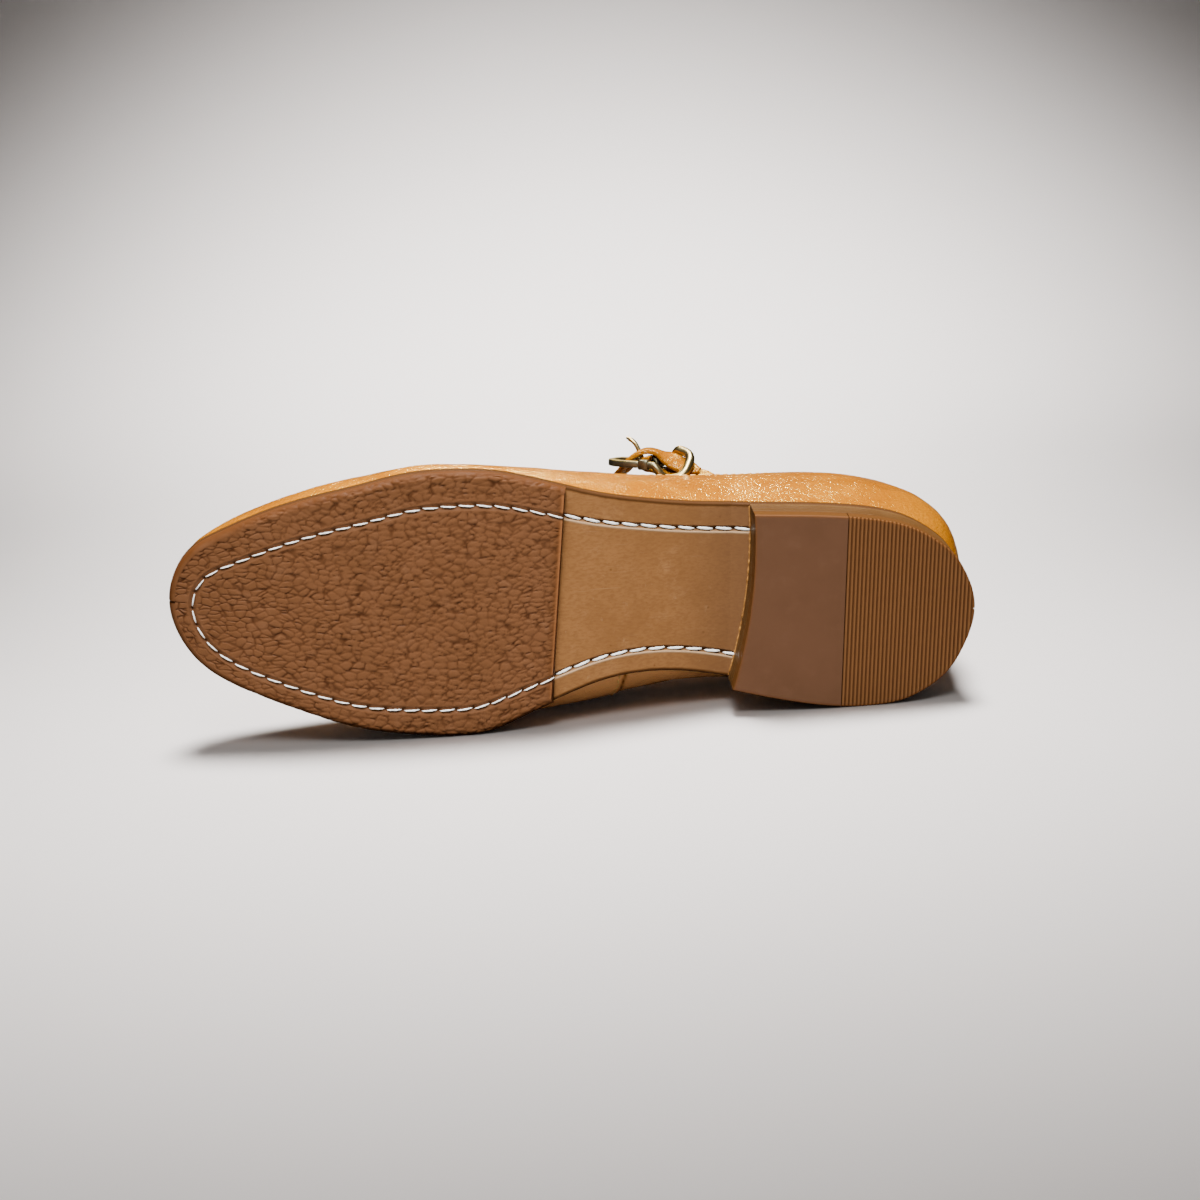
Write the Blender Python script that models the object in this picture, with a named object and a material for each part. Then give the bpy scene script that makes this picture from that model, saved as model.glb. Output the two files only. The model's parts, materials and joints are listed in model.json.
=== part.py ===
"""A left mary jane flat in golden leather, lying on its inner side. Metres, +Z up.

Every piece is modelled on a standing shoe: heel end at x = 0, toe towards +X, the shoe's outer
side towards +Y, the tread at z = 0. One empty carries all pieces and lays the shoe on its side.
"""

import math
from collections import namedtuple

import bmesh
import bpy
import numpy as np
from mathutils import Matrix, Vector

# Driving dimensions
SHOE_LENGTH = 0.272
GAP = 0.0003
HALF_SOLE_THICK = 0.0033
OUTSOLE_THICK = 0.0036
INSOLE_THICK = 0.0024
INSOLE_CLEARANCE = 0.0007
HEEL_TIP_THICK = 0.0055
HEEL_LIFT_THICK = 0.0045
HEEL_SEAT = HEEL_TIP_THICK + 2 * HEEL_LIFT_THICK + 3 * GAP
FOREPART = HALF_SOLE_THICK + GAP
TOE_SPRING = 0.0088
TOE_SPRING_START = 0.195
WAIST_BACK = 0.082
WAIST_FRONT = 0.147
WAIST_FULLNESS = 0.9
HEEL_TIP_JOINT = 0.0443
BREAST_OUTER = 0.0759
BREAST_INNER = 0.0816
BREAST_HOLLOW = 0.0026
HALF_SOLE_OUTER = 0.1390
HALF_SOLE_INNER = 0.1426
UPPER_WALL = 0.0018
RIB_FAN_REACH = 0.020
SOLE_END_TURN = math.radians(2)

STRAP_WIDTH = 0.0085
STRAP_FOOT_WIDTH = 0.0130
STRAP_TAPER = 0.6
STRAP_THICK = 0.0020
CHAPE_WIDTH = 0.0085
CHAPE_THICK = 0.0015
CHAPE_SLOT = 0.0026
QUARTER_EASE = 0.0006
STRAP_AXIS = (0.002, 0.048)
STRAP_FOOT = 0.150
STRAP_FOOT_RISES = (0.50, 0.66, 0.82, 0.96)
CHAPE_FOOT = 0.083
CHAPE_FOOT_RISES = (0.55, 0.70, 0.84, 0.95)
STRAP_HOLE_RADIUS = 0.0012
STRAP_HOLES = (0.030, 0.037, 0.044)

BUCKLE_CENTRE = Vector((0.1058, 0.0362, 0.0660))
BUCKLE_ALONG = Vector((0.90, -0.04, 0.43))
BUCKLE_FACING = Vector((0.02, 0.985, 0.16))
BUCKLE_TWIST = math.radians(42)
TWIST_START = 0.0035
TWIST_END = 0.0090
FRONT_LOOP = 0.0140
REAR_LOOP = 0.0142
LOOP_SQUARENESS = 0.6
BUCKLE_WIDTH = 0.0155
BUCKLE_WAIST = 0.10
WIRE_RADIUS = 0.00125
BAR_RADIUS = 0.0011
BAR_BLOCK = 0.0034
PRONG_RADIUS = 0.00075
PRONG_TAPER_START = 0.93
PRONG_TIP = 0.45

# How finely curves are cut into straight pieces
RING_STEPS = 96
RIB_STEPS = 12
SOLE_ROWS = 56
HALF_SOLE_ROWS = 32
HEEL_ROUND_STEPS = 44
HEEL_SIDE_STEPS = 8
BREAST_STEPS = 10
PATH_STEPS = 60
WRAP_STEPS = 10
WIRE_STEPS = 56
PRONG_STEPS = 36
WIRE_SIDES = 8
BAR_SIDES = 10
HOLE_SIDES = 12
FINE_STEPS = 2000
TURN_STEP = 0.01
TINY = 1e-6
SHARP_ANGLE = math.radians(35)

LEATHER_DENSITY = 860.0
RUBBER_DENSITY = 1150.0
BRASS_DENSITY = 8500.0

# Plan of the sole: distance from the heel end, outer edge, inner edge
Plan = namedtuple("Plan", "x outer inner")
SOLE_PLAN = [
    Plan(0.000, 0.0010, 0.0010),
    Plan(0.003, 0.0125, -0.0120),
    Plan(0.008, 0.0202, -0.0210),
    Plan(0.014, 0.0250, -0.0265),
    Plan(0.022, 0.0293, -0.0310),
    Plan(0.032, 0.0320, -0.0332),
    Plan(0.044, 0.0333, -0.0337),
    Plan(0.060, 0.0339, -0.0320),
    Plan(0.080, 0.0342, -0.0280),
    Plan(0.100, 0.0357, -0.0241),
    Plan(0.115, 0.0378, -0.0238),
    Plan(0.128, 0.0402, -0.0263),
    Plan(0.140, 0.0433, -0.0310),
    Plan(0.152, 0.0462, -0.0366),
    Plan(0.164, 0.0482, -0.0421),
    Plan(0.177, 0.0485, -0.0437),
    Plan(0.192, 0.0471, -0.0430),
    Plan(0.208, 0.0430, -0.0409),
    Plan(0.224, 0.0388, -0.0364),
    Plan(0.240, 0.0332, -0.0308),
    Plan(0.254, 0.0266, -0.0248),
    Plan(0.263, 0.0212, -0.0184),
    Plan(0.269, 0.0138, -0.0100),
    Plan(0.272, 0.0020, 0.0020),
]

# Sections of the upper: where each leaves the sole, how it leans out, where it ends on the topline
Rib = namedtuple("Rib", "side x inset swell lift shoulder drop top_x top_y top_z")
OUTER, INNER = 1, -1
RIBS = [
    Rib(OUTER, 0.000, 0.0008, 0.0036, 0.016, 0.0040, 0.022, 0.0015, 0.0005, 0.0785),
    Rib(OUTER, 0.010, 0.0006, 0.0090, 0.016, 0.0074, 0.020, 0.0120, 0.0190, 0.0755),
    Rib(OUTER, 0.030, 0.0006, 0.0065, 0.015, 0.0065, 0.018, 0.0310, 0.0295, 0.0690),
    Rib(OUTER, 0.060, 0.0006, 0.0055, 0.014, 0.0058, 0.014, 0.0600, 0.0332, 0.0615),
    Rib(OUTER, 0.095, 0.0008, 0.0045, 0.013, 0.0036, 0.012, 0.0970, 0.0343, 0.0550),
    Rib(OUTER, 0.130, 0.0016, 0.0060, 0.013, 0.0066, 0.011, 0.1300, 0.0345, 0.0510),
    Rib(OUTER, 0.160, 0.0038, 0.0050, 0.016, 0.0095, 0.008, 0.1520, 0.0315, 0.0495),
    Rib(OUTER, 0.185, 0.0034, 0.0052, 0.018, 0.0150, 0.005, 0.1670, 0.0262, 0.0486),
    Rib(OUTER, 0.212, 0.0018, 0.0062, 0.018, 0.0230, 0.005, 0.1760, 0.0190, 0.0479),
    Rib(OUTER, 0.240, 0.0008, 0.0055, 0.018, 0.0340, 0.006, 0.1802, 0.0120, 0.0474),
    Rib(OUTER, 0.260, 0.0008, 0.0046, 0.018, 0.0440, 0.007, 0.1816, 0.0060, 0.0471),
    Rib(OUTER, 0.272, 0.0010, 0.0030, 0.019, 0.0500, 0.008, 0.1820, 0.0010, 0.0470),
    Rib(INNER, 0.260, 0.0010, 0.0034, 0.018, 0.0440, 0.007, 0.1818, -0.0040, 0.0471),
    Rib(INNER, 0.240, 0.0012, 0.0042, 0.018, 0.0340, 0.006, 0.1806, -0.0100, 0.0475),
    Rib(INNER, 0.212, 0.0018, 0.0038, 0.018, 0.0230, 0.005, 0.1768, -0.0170, 0.0481),
    Rib(INNER, 0.185, 0.0022, 0.0042, 0.018, 0.0150, 0.005, 0.1682, -0.0240, 0.0490),
    Rib(INNER, 0.160, 0.0010, 0.0085, 0.014, 0.0095, 0.008, 0.1530, -0.0288, 0.0502),
    Rib(INNER, 0.136, 0.0004, 0.0160, 0.010, 0.0090, 0.012, 0.1340, -0.0308, 0.0516),
    Rib(INNER, 0.114, 0.0004, 0.0160, 0.010, 0.0080, 0.014, 0.1140, -0.0315, 0.0534),
    Rib(INNER, 0.090, 0.0004, 0.0095, 0.012, 0.0070, 0.014, 0.0920, -0.0314, 0.0560),
    Rib(INNER, 0.060, 0.0006, 0.0045, 0.014, 0.0055, 0.014, 0.0600, -0.0312, 0.0617),
    Rib(INNER, 0.030, 0.0006, 0.0045, 0.015, 0.0060, 0.018, 0.0310, -0.0285, 0.0690),
    Rib(INNER, 0.010, 0.0008, 0.0070, 0.016, 0.0060, 0.020, 0.0120, -0.0185, 0.0755),
]

# Middle line of the strap over the instep, between the inner quarter and the buckle
INSTEP_ROUTE = [
    (0.1445, -0.0225, 0.0615),
    (0.1405, -0.0105, 0.0705),
    (0.1360, 0.0025, 0.0745),
    (0.1310, 0.0140, 0.0745),
    (0.1258, 0.0235, 0.0715),
]

# Passage of the strap, the chape and the prong through the buckle: along it, and out from it
Pass = namedtuple("Pass", "along out")
STRAP_PASS = [
    Pass(0.0142, -0.0062),
    Pass(0.0097, -0.0022),
    Pass(0.0058, 0.0026),
    Pass(0.0018, 0.0046),
    Pass(-0.0028, 0.0042),
    Pass(-0.0085, 0.0006),
    Pass(-0.0142, -0.0031),
    Pass(-0.0172, -0.0033),
]
CHAPE_PASS = [Pass(-0.0180, -0.0066), Pass(-0.0142, -0.0057), Pass(-0.0070, -0.0042)]
CHAPE_WRAP = (-100, 110)
PRONG_PASS = [
    Pass(0.0031, 0.0011),
    Pass(0.0044, 0.0036),
    Pass(0.0056, 0.0058),
    Pass(0.0074, 0.0077),
    Pass(0.0098, 0.0087),
]
PRONG_WRAP = (-320, -35)

MATERIALS = {
    "upper_leather": ((0.60, 0.33, 0.10), 0.35, 0.0),
    "sole_leather": ((0.40, 0.24, 0.12), 0.60, 0.0),
    "heel_leather": ((0.30, 0.17, 0.08), 0.55, 0.0),
    "crepe_rubber": ((0.25, 0.12, 0.055), 0.70, 0.0),
    "tip_rubber": ((0.25, 0.11, 0.05), 0.55, 0.0),
    "insole_leather": ((0.55, 0.38, 0.20), 0.65, 0.0),
    "antique_brass": ((0.36, 0.28, 0.13), 0.35, 1.0),
}


def clear_scene():
    for obj in list(bpy.data.objects):
        bpy.data.objects.remove(obj, do_unlink=True)


def principled(name):
    colour, roughness, metallic = MATERIALS[name]
    material = bpy.data.materials.new(name)
    material.use_nodes = True
    shader = material.node_tree.nodes["Principled BSDF"]
    shader.inputs["Base Color"].default_value = (*colour, 1.0)
    shader.inputs["Roughness"].default_value = roughness
    shader.inputs["Metallic"].default_value = metallic
    return material


def smooth_curve(knots, values, period=None):
    """A cubic spline through the values: closed when a period is given, otherwise with free ends."""
    t = np.asarray(knots, float)
    v = np.asarray(values, float)
    if period:
        t = np.append(t, t[0] + period)
        v = np.concatenate([v, v[:1]])
    step = np.diff(t)
    slope = (np.diff(v, axis=0).T / step).T
    n = len(t)
    system = np.eye(n)
    right = np.zeros_like(v)
    for i in range(1, n - 1):
        system[i, i - 1 : i + 2] = step[i - 1], 2 * (step[i - 1] + step[i]), step[i]
        right[i] = 6 * (slope[i] - slope[i - 1])
    if period:
        system[0, [0, 1, n - 2]] = 2 * (step[-1] + step[0]), step[0], step[-1]
        right[0] = 6 * (slope[0] - slope[-1])
        system[-1, 0] = -1
    bend = np.linalg.solve(system, right)

    def at(where):
        where = np.asarray(where, float)
        if period:
            where = t[0] + np.mod(where - t[0], period)
        i = np.clip(np.searchsorted(t, where, side="right") - 1, 0, n - 2)
        h = step[i]
        a = (t[i + 1] - where) / h
        b = 1 - a
        shape = (slice(None),) + (None,) * (v.ndim - 1) if np.ndim(where) else ()
        a, b, h = a[shape], b[shape], h[shape]
        cubic = ((a**3 - a) * bend[i] + (b**3 - b) * bend[i + 1]) * h * h / 6
        return a * v[i] + b * v[i + 1] + cubic

    return at


def turn_of(x, side=OUTER):
    """Angle round the sole, 0 at the heel end and pi at the toe, for a distance along the shoe."""
    angle = math.acos(max(-1.0, min(1.0, 1 - 2 * x / SHOE_LENGTH)))
    return angle if side == OUTER else 2 * math.pi - angle


def edge_knots():
    outer = [(turn_of(row.x), row.outer) for row in SOLE_PLAN]
    inner = [(turn_of(row.x, INNER), row.inner) for row in SOLE_PLAN[-2:0:-1]]
    return np.array(outer + inner)


EDGE_Y = smooth_curve(*edge_knots().T, period=2 * math.pi)
RIB_TURNS = [turn_of(rib.x, rib.side) for rib in RIBS]
RIB_SHAPE = smooth_curve(RIB_TURNS, [rib[2:] for rib in RIBS], period=2 * math.pi)


def edge(turn, inset=0.0):
    """Points on the sole's edge in plan, moved inwards by the inset, and their outward directions."""
    turn = np.asarray(turn, float)
    small = 1e-4

    def on_edge(angle):
        return np.stack([SHOE_LENGTH / 2 * (1 - np.cos(angle)), EDGE_Y(angle)], axis=-1)

    along = on_edge(turn + small) - on_edge(turn - small)
    out = np.stack([-along[..., 1], along[..., 0]], axis=-1)
    out /= np.linalg.norm(out, axis=-1, keepdims=True)
    return on_edge(turn) - out * np.asarray(inset)[..., None], out


def underside(x):
    """Height of the leather outsole's underside: heel seat, waist, ball and toe spring."""
    x = np.asarray(x, float)
    share = np.clip((x - WAIST_BACK) / (WAIST_FRONT - WAIST_BACK), 0, 1)
    waist = (1 - share) ** 2 * (1 + WAIST_FULLNESS * share)
    toe = np.clip((x - TOE_SPRING_START) / (SHOE_LENGTH - TOE_SPRING_START), 0, None)
    return FOREPART + (HEEL_SEAT - FOREPART) * waist + TOE_SPRING * toe**2


def outsole_top(x):
    return underside(x) + OUTSOLE_THICK


def even_turns(count, start=0.0, end=2 * math.pi):
    """Angles round the sole that space points evenly along its edge."""
    fine = np.linspace(start, end, FINE_STEPS)
    points, _ = edge(fine)
    run = np.concatenate([[0], np.cumsum(np.linalg.norm(np.diff(points, axis=0), axis=1))])
    return np.interp(np.linspace(0, run[-1], count), run, fine)


def new_object(name, points, faces, material, parent, smooth=True):
    mesh = bpy.data.meshes.new(name)
    mesh.from_pydata([tuple(point) for point in points], [], faces)
    shape = bmesh.new()
    shape.from_mesh(mesh)
    bmesh.ops.recalc_face_normals(shape, faces=shape.faces[:])
    shape.to_mesh(mesh)
    shape.free()
    if smooth:
        mesh.shade_smooth()
        mesh.set_sharp_from_angle(angle=SHARP_ANGLE)
    mesh.materials.append(material)
    obj = bpy.data.objects.new(name, mesh)
    obj.parent = parent
    bpy.context.scene.collection.objects.link(obj)
    return obj


def tube_faces(rings, sides, closed=False):
    """Faces of a tube of rings with the same number of sides, capped unless it closes on itself."""
    faces = []
    for i in range(rings if closed else rings - 1):
        for j in range(sides):
            near, far = i * sides, (i + 1) % rings * sides
            faces.append((near + j, far + j, far + (j + 1) % sides, near + (j + 1) % sides))
    if not closed:
        faces.append(tuple(range(sides)))
        faces.append(tuple(range((rings - 1) * sides, rings * sides)))
    return faces


def sole_layer(name, outer, inner, low, high, material, parent):
    """A layer of the sole: rows across from its outer to its inner edge, between two heights."""
    rows = []
    for a, b in zip(outer, inner):
        rows += [(*a, low(a[0])), (*b, low(b[0])), (*b, high(b[0])), (*a, high(a[0]))]
    return new_object(name, rows, tube_faces(len(outer), 4), material, parent)


def prism(name, plan, low, high, material, parent):
    """An outline in plan between two flat heights."""
    count = len(plan)
    points = [(*p, low) for p in plan] + [(*p, high) for p in plan]
    faces = [tuple(range(count)), tuple(range(count, 2 * count))]
    faces += [(i, (i + 1) % count, count + (i + 1) % count, count + i) for i in range(count)]
    return new_object(name, points, faces, material, parent)


def breast_line():
    """The heel's hollowed front face in plan, from the inner corner to the outer one."""
    outer, _ = edge(turn_of(BREAST_OUTER))
    inner, _ = edge(turn_of(BREAST_INNER, INNER))
    share = np.linspace(0, 1, BREAST_STEPS)[:, None]
    line = inner + (outer - inner) * share
    line[:, 0] -= BREAST_HOLLOW * 4 * share[:, 0] * (1 - share[:, 0])
    return line


def heel_plan(front=None, back=None):
    """The heel's outline between two lines across it; by default from the breast to the heel end."""
    outer_front = BREAST_OUTER if front is None else front
    inner_front = BREAST_INNER if front is None else front
    if back is None:
        last = turn_of(inner_front, INNER) - 2 * math.pi
        turns = even_turns(HEEL_ROUND_STEPS, turn_of(outer_front), last)
        sides, _ = edge(turns)
    else:
        steps = HEEL_SIDE_STEPS
        outer, _ = edge(even_turns(steps, turn_of(outer_front), turn_of(back)))
        inner, _ = edge(even_turns(steps, turn_of(back, INNER), turn_of(inner_front, INNER)))
        sides = np.concatenate([outer, inner])
    return np.concatenate([sides, breast_line()[1:-1]]) if front is None else sides


def build_sole(materials, parent):
    last = math.pi - SOLE_END_TURN
    turns = np.linspace(SOLE_END_TURN, last, SOLE_ROWS)
    outer, _ = edge(turns)
    inner, _ = edge(2 * math.pi - turns)
    sole_layer("outsole", outer, inner, underside, outsole_top, materials["sole_leather"], parent)

    outer, _ = edge(np.linspace(turn_of(HALF_SOLE_OUTER), last, HALF_SOLE_ROWS))
    inner, _ = edge(2 * math.pi - np.linspace(turn_of(HALF_SOLE_INNER), last, HALF_SOLE_ROWS))
    sole_layer(
        "half_sole",
        outer,
        inner,
        lambda x: underside(x) - GAP - HALF_SOLE_THICK,
        lambda x: underside(x) - GAP,
        materials["crepe_rubber"],
        parent,
    )

    inside = UPPER_WALL + INSOLE_CLEARANCE
    outer, _ = edge(turns, RIB_SHAPE(turns)[:, 0] + inside)
    inner, _ = edge(2 * math.pi - turns, RIB_SHAPE(2 * math.pi - turns)[:, 0] + inside)
    sole_layer(
        "insole",
        outer,
        inner,
        lambda x: outsole_top(x) + GAP,
        lambda x: outsole_top(x) + GAP + INSOLE_THICK,
        materials["insole_leather"],
        parent,
    )


def build_heel(materials, parent):
    rear = heel_plan(front=HEEL_TIP_JOINT - GAP / 2)
    front = heel_plan(back=HEEL_TIP_JOINT + GAP / 2)
    prism("heel_tip_rear", rear, 0, HEEL_TIP_THICK, materials["tip_rubber"], parent)
    prism("heel_tip_front", front, 0, HEEL_TIP_THICK, materials["tip_rubber"], parent)
    low = HEEL_TIP_THICK + GAP
    for name in ("heel_lift_lower", "heel_lift_upper"):
        high = low + HEEL_LIFT_THICK
        prism(name, heel_plan(), low, high, materials["heel_leather"], parent)
        low = high + GAP


def upper_wall(turns, rises):
    """Points of the upper's outer face: one rib at each angle, from the sole to the topline."""
    shape = RIB_SHAPE(turns)
    inset, swell, lift, shoulder, drop = shape[:, :5].T
    foot, out = edge(turns, inset)
    start = np.column_stack([foot, outsole_top(foot[:, 0]) + GAP])
    out = np.column_stack([out, np.zeros(len(out))])
    top = shape[:, 5:]
    across = (start - top) * (1, 1, 0)
    reach = np.linalg.norm(across, axis=1, keepdims=True)
    fan = reach / (reach + RIB_FAN_REACH)
    towards = (1 - fan) * out + fan * across / np.maximum(reach, TINY)
    towards /= np.linalg.norm(towards, axis=1, keepdims=True)
    up = np.array([0, 0, 1.0])
    first = start + out * swell[:, None] + up * lift[:, None]
    second = top + towards * shoulder[:, None] - up * drop[:, None]
    r = np.asarray(rises)[None, :, None]
    return (
        (1 - r) ** 3 * start[:, None]
        + 3 * r * (1 - r) ** 2 * first[:, None]
        + 3 * r**2 * (1 - r) * second[:, None]
        + r**3 * top[:, None]
    )


def wall_normals(wall):
    """Outward directions over a grid that closes round the shoe in its first direction."""
    round_shoe = np.roll(wall, -1, axis=0) - np.roll(wall, 1, axis=0)
    rising = np.gradient(wall, axis=1)
    normal = np.cross(rising, round_shoe)
    return normal / np.linalg.norm(normal, axis=2, keepdims=True)


def inner_wall(wall, thick):
    """The lining face: the outer face moved in by the wall, its lower edge kept level on the sole."""
    normal = wall_normals(wall)
    inside = wall - normal * thick
    flat = normal[:, 0] * (1, 1, 0)
    flat /= np.linalg.norm(flat, axis=1, keepdims=True)
    inside[:, 0] = wall[:, 0] - flat * thick
    inside[:, 0, 2] = outsole_top(inside[:, 0, 0]) + GAP
    return inside


def build_upper(materials, parent):
    turns = even_turns(RING_STEPS + 1)[:-1]
    wall = upper_wall(turns, np.linspace(0, 1, RIB_STEPS + 1))
    inside = inner_wall(wall, UPPER_WALL)
    sections = np.concatenate([wall, inside[:, ::-1]], axis=1)
    sides = sections.shape[1]
    faces = tube_faces(RING_STEPS, sides, closed=True)
    new_object("upper", sections.reshape(-1, 3), faces, materials["upper_leather"], parent)


def evenly_along(route, facing, count):
    """Points spaced evenly along a smooth curve through the route, and the facing at each."""
    run = np.concatenate([[0], np.cumsum(np.linalg.norm(np.diff(route, axis=0), axis=1))])
    facing = facing / np.linalg.norm(facing, axis=1, keepdims=True)
    where = np.linspace(0, run[-1], FINE_STEPS)
    fine = smooth_curve(run, route)(where)
    length = np.concatenate([[0], np.cumsum(np.linalg.norm(np.diff(fine, axis=0), axis=1))])
    picks = np.interp(np.linspace(0, length[-1], count), length, where)
    turned = np.stack([np.interp(picks, run, facing[:, k]) for k in range(3)], axis=1)
    return smooth_curve(run, route)(picks), turned


def band(path, facing, width, thick):
    """Four corners at each point of a flat strap whose outer face looks along the facing."""
    along = np.gradient(path, axis=0)
    along /= np.linalg.norm(along, axis=1, keepdims=True)
    side = np.cross(along, facing)
    side /= np.linalg.norm(side, axis=1, keepdims=True)
    out = np.cross(side, along)
    a, b = side * width / 2, out * thick / 2
    return np.stack([path - a - b, path + a - b, path + a + b, path - a + b], axis=1)


def round_sections(path, facing, radius, sides, closed=False):
    """Rings of a wire round a path, with one radius or a radius at each point."""
    if closed:
        along = np.roll(path, -1, axis=0) - np.roll(path, 1, axis=0)
    else:
        along = np.gradient(path, axis=0)
    along /= np.linalg.norm(along, axis=1, keepdims=True)
    side = np.cross(along, facing)
    side /= np.linalg.norm(side, axis=1, keepdims=True)
    out = np.cross(side, along)
    turns = np.linspace(0, 2 * math.pi, sides, endpoint=False) + math.pi / sides
    radius = np.broadcast_to(radius, len(path))[:, None, None]
    spread = side[:, None] * np.cos(turns)[:, None] + out[:, None] * np.sin(turns)[:, None]
    return path[:, None] + radius * spread


class Buckle:
    """Local directions of the buckle: along it towards the instep, across it, and out from it."""

    def __init__(self):
        self.centre = np.array(BUCKLE_CENTRE)
        self.along = np.array(BUCKLE_ALONG.normalized())
        facing = np.array(BUCKLE_FACING)
        self.facing = facing - self.along * facing.dot(self.along)
        self.facing /= np.linalg.norm(self.facing)
        self.across = np.cross(self.along, self.facing)

    def turned(self, along):
        """Directions across and out: behind the bar the frame is twisted towards the tread."""
        share = min(max((-along - TWIST_START) / (TWIST_END - TWIST_START), 0.0), 1.0)
        angle = BUCKLE_TWIST * share * share * (3 - 2 * share)
        across = self.across * math.cos(angle) + self.facing * math.sin(angle)
        out = self.facing * math.cos(angle) - self.across * math.sin(angle)
        return across, out

    def at(self, along, out=0.0, across=0.0):
        side, up = self.turned(along)
        return self.centre + self.along * along + side * across + up * out

    def wire(self, count):
        """Points round both loops, and the direction out from the frame at each."""
        points, outs = [], []
        for turn in np.linspace(0, 2 * math.pi, count, endpoint=False):
            c, s = math.cos(turn), math.sin(turn)
            reach = FRONT_LOOP if c > 0 else REAR_LOOP
            along = reach * math.copysign(abs(c) ** LOOP_SQUARENESS, c)
            pinch = 1 - BUCKLE_WAIST * math.exp(-((along / BAR_BLOCK) ** 2))
            half = BUCKLE_WIDTH / 2 * math.copysign(abs(s) ** LOOP_SQUARENESS, s) * pinch
            points.append(self.at(along, 0, half))
            outs.append(self.turned(along)[1])
        return np.array(points), np.array(outs)

    def round_bar(self, radius, first, last, count):
        """Points round the centre bar between two angles, 0 towards the instep and 90 outwards."""
        turns = np.radians(np.linspace(first, last, count))
        return [self.at(radius * math.cos(turn), radius * math.sin(turn)) for turn in turns]


def boolean(obj, other, operation):
    change = obj.modifiers.new(other.name, "BOOLEAN")
    change.operation = operation
    change.object = other
    other.hide_render = True
    other.display_type = "WIRE"


def inside_quarter(x, side, rises, depth):
    """Points inside the upper at one of its ribs, the depth below its outer face, and their facing."""
    turn = turn_of(x, side)
    wall = upper_wall(turn + TURN_STEP * np.array([-1, 0, 1]), rises)
    facing = wall_normals(wall)[1]
    return wall[1] - facing * depth, facing


def build_strap(materials, parent, buckle):
    under = UPPER_WALL + QUARTER_EASE + STRAP_THICK / 2
    foot, foot_facing = inside_quarter(STRAP_FOOT, INNER, STRAP_FOOT_RISES, under)
    instep = np.array(INSTEP_ROUTE)
    instep_facing = instep - np.column_stack([instep[:, 0], np.tile(STRAP_AXIS, (len(instep), 1))])
    ends = np.array([buckle.at(*step) for step in STRAP_PASS])
    end_facing = [buckle.turned(step.along)[1] for step in STRAP_PASS]
    route = np.concatenate([foot, instep, ends])
    facing = np.concatenate([foot_facing, instep_facing, end_facing])
    path, facing = evenly_along(route, facing, PATH_STEPS)
    taper = np.clip(np.linspace(0, 1, PATH_STEPS) / STRAP_TAPER, 0, 1)
    width = STRAP_FOOT_WIDTH + (STRAP_WIDTH - STRAP_FOOT_WIDTH) * taper
    corners = band(path, facing, width[:, None], STRAP_THICK)
    leather = materials["upper_leather"]
    strap = new_object("strap", corners.reshape(-1, 3), tube_faces(PATH_STEPS, 4), leather, parent)
    run = np.concatenate([[0], np.cumsum(np.linalg.norm(np.diff(path, axis=0), axis=1))])
    for number, back in enumerate(STRAP_HOLES):
        i = int(np.searchsorted(run, run[-1] - back))
        out = facing[i] / np.linalg.norm(facing[i])
        ends = np.array([path[i] - out * STRAP_THICK * 2, path[i] + out * STRAP_THICK * 2])
        punch(strap, f"strap_hole_{number}", ends, STRAP_HOLE_RADIUS, materials, parent)
    first, last = PRONG_PASS[0], PRONG_PASS[3]
    ends = np.array([buckle.at(*first), buckle.at(*last)])
    punch(strap, "prong_hole", ends, STRAP_HOLE_RADIUS, materials, parent)


def punch(strap, name, ends, radius, materials, parent):
    """Cuts a round hole through a strap between two points."""
    rings = round_sections(ends, np.array([BUCKLE_ALONG] * 2), radius, HOLE_SIDES)
    faces = tube_faces(2, HOLE_SIDES)
    cutter = new_object(name, rings.reshape(-1, 3), faces, materials["upper_leather"], parent)
    boolean(strap, cutter, "DIFFERENCE")


def build_chape(materials, parent, buckle):
    under = UPPER_WALL + QUARTER_EASE + CHAPE_THICK / 2
    foot, foot_facing = inside_quarter(CHAPE_FOOT, OUTER, CHAPE_FOOT_RISES, under)
    ends = np.array([buckle.at(*step) for step in CHAPE_PASS])
    end_facing = [buckle.turned(step.along)[1] for step in CHAPE_PASS]
    radius = BAR_RADIUS + GAP + CHAPE_THICK / 2
    wrap = np.array(buckle.round_bar(radius, *CHAPE_WRAP, WRAP_STEPS))
    wrap_facing = buckle.centre - wrap
    route = np.concatenate([foot, ends, wrap])
    facing = np.concatenate([foot_facing, end_facing, wrap_facing])
    path, facing = evenly_along(route, facing, PATH_STEPS)
    corners = band(path, facing, CHAPE_WIDTH, CHAPE_THICK)
    leather = materials["upper_leather"]
    chape = new_object("chape", corners.reshape(-1, 3), tube_faces(PATH_STEPS, 4), leather, parent)
    reach = TWIST_START
    slot = [buckle.at(-reach, -reach), buckle.at(2 * reach, -reach)]
    slot += [buckle.at(2 * reach, 2 * reach), buckle.at(-reach, 2 * reach)]
    half = buckle.across * CHAPE_SLOT / 2
    box = [point - half for point in slot] + [point + half for point in slot]
    cutter = new_object("prong_slot", box, tube_faces(2, 4), leather, parent)
    boolean(chape, cutter, "DIFFERENCE")


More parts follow.
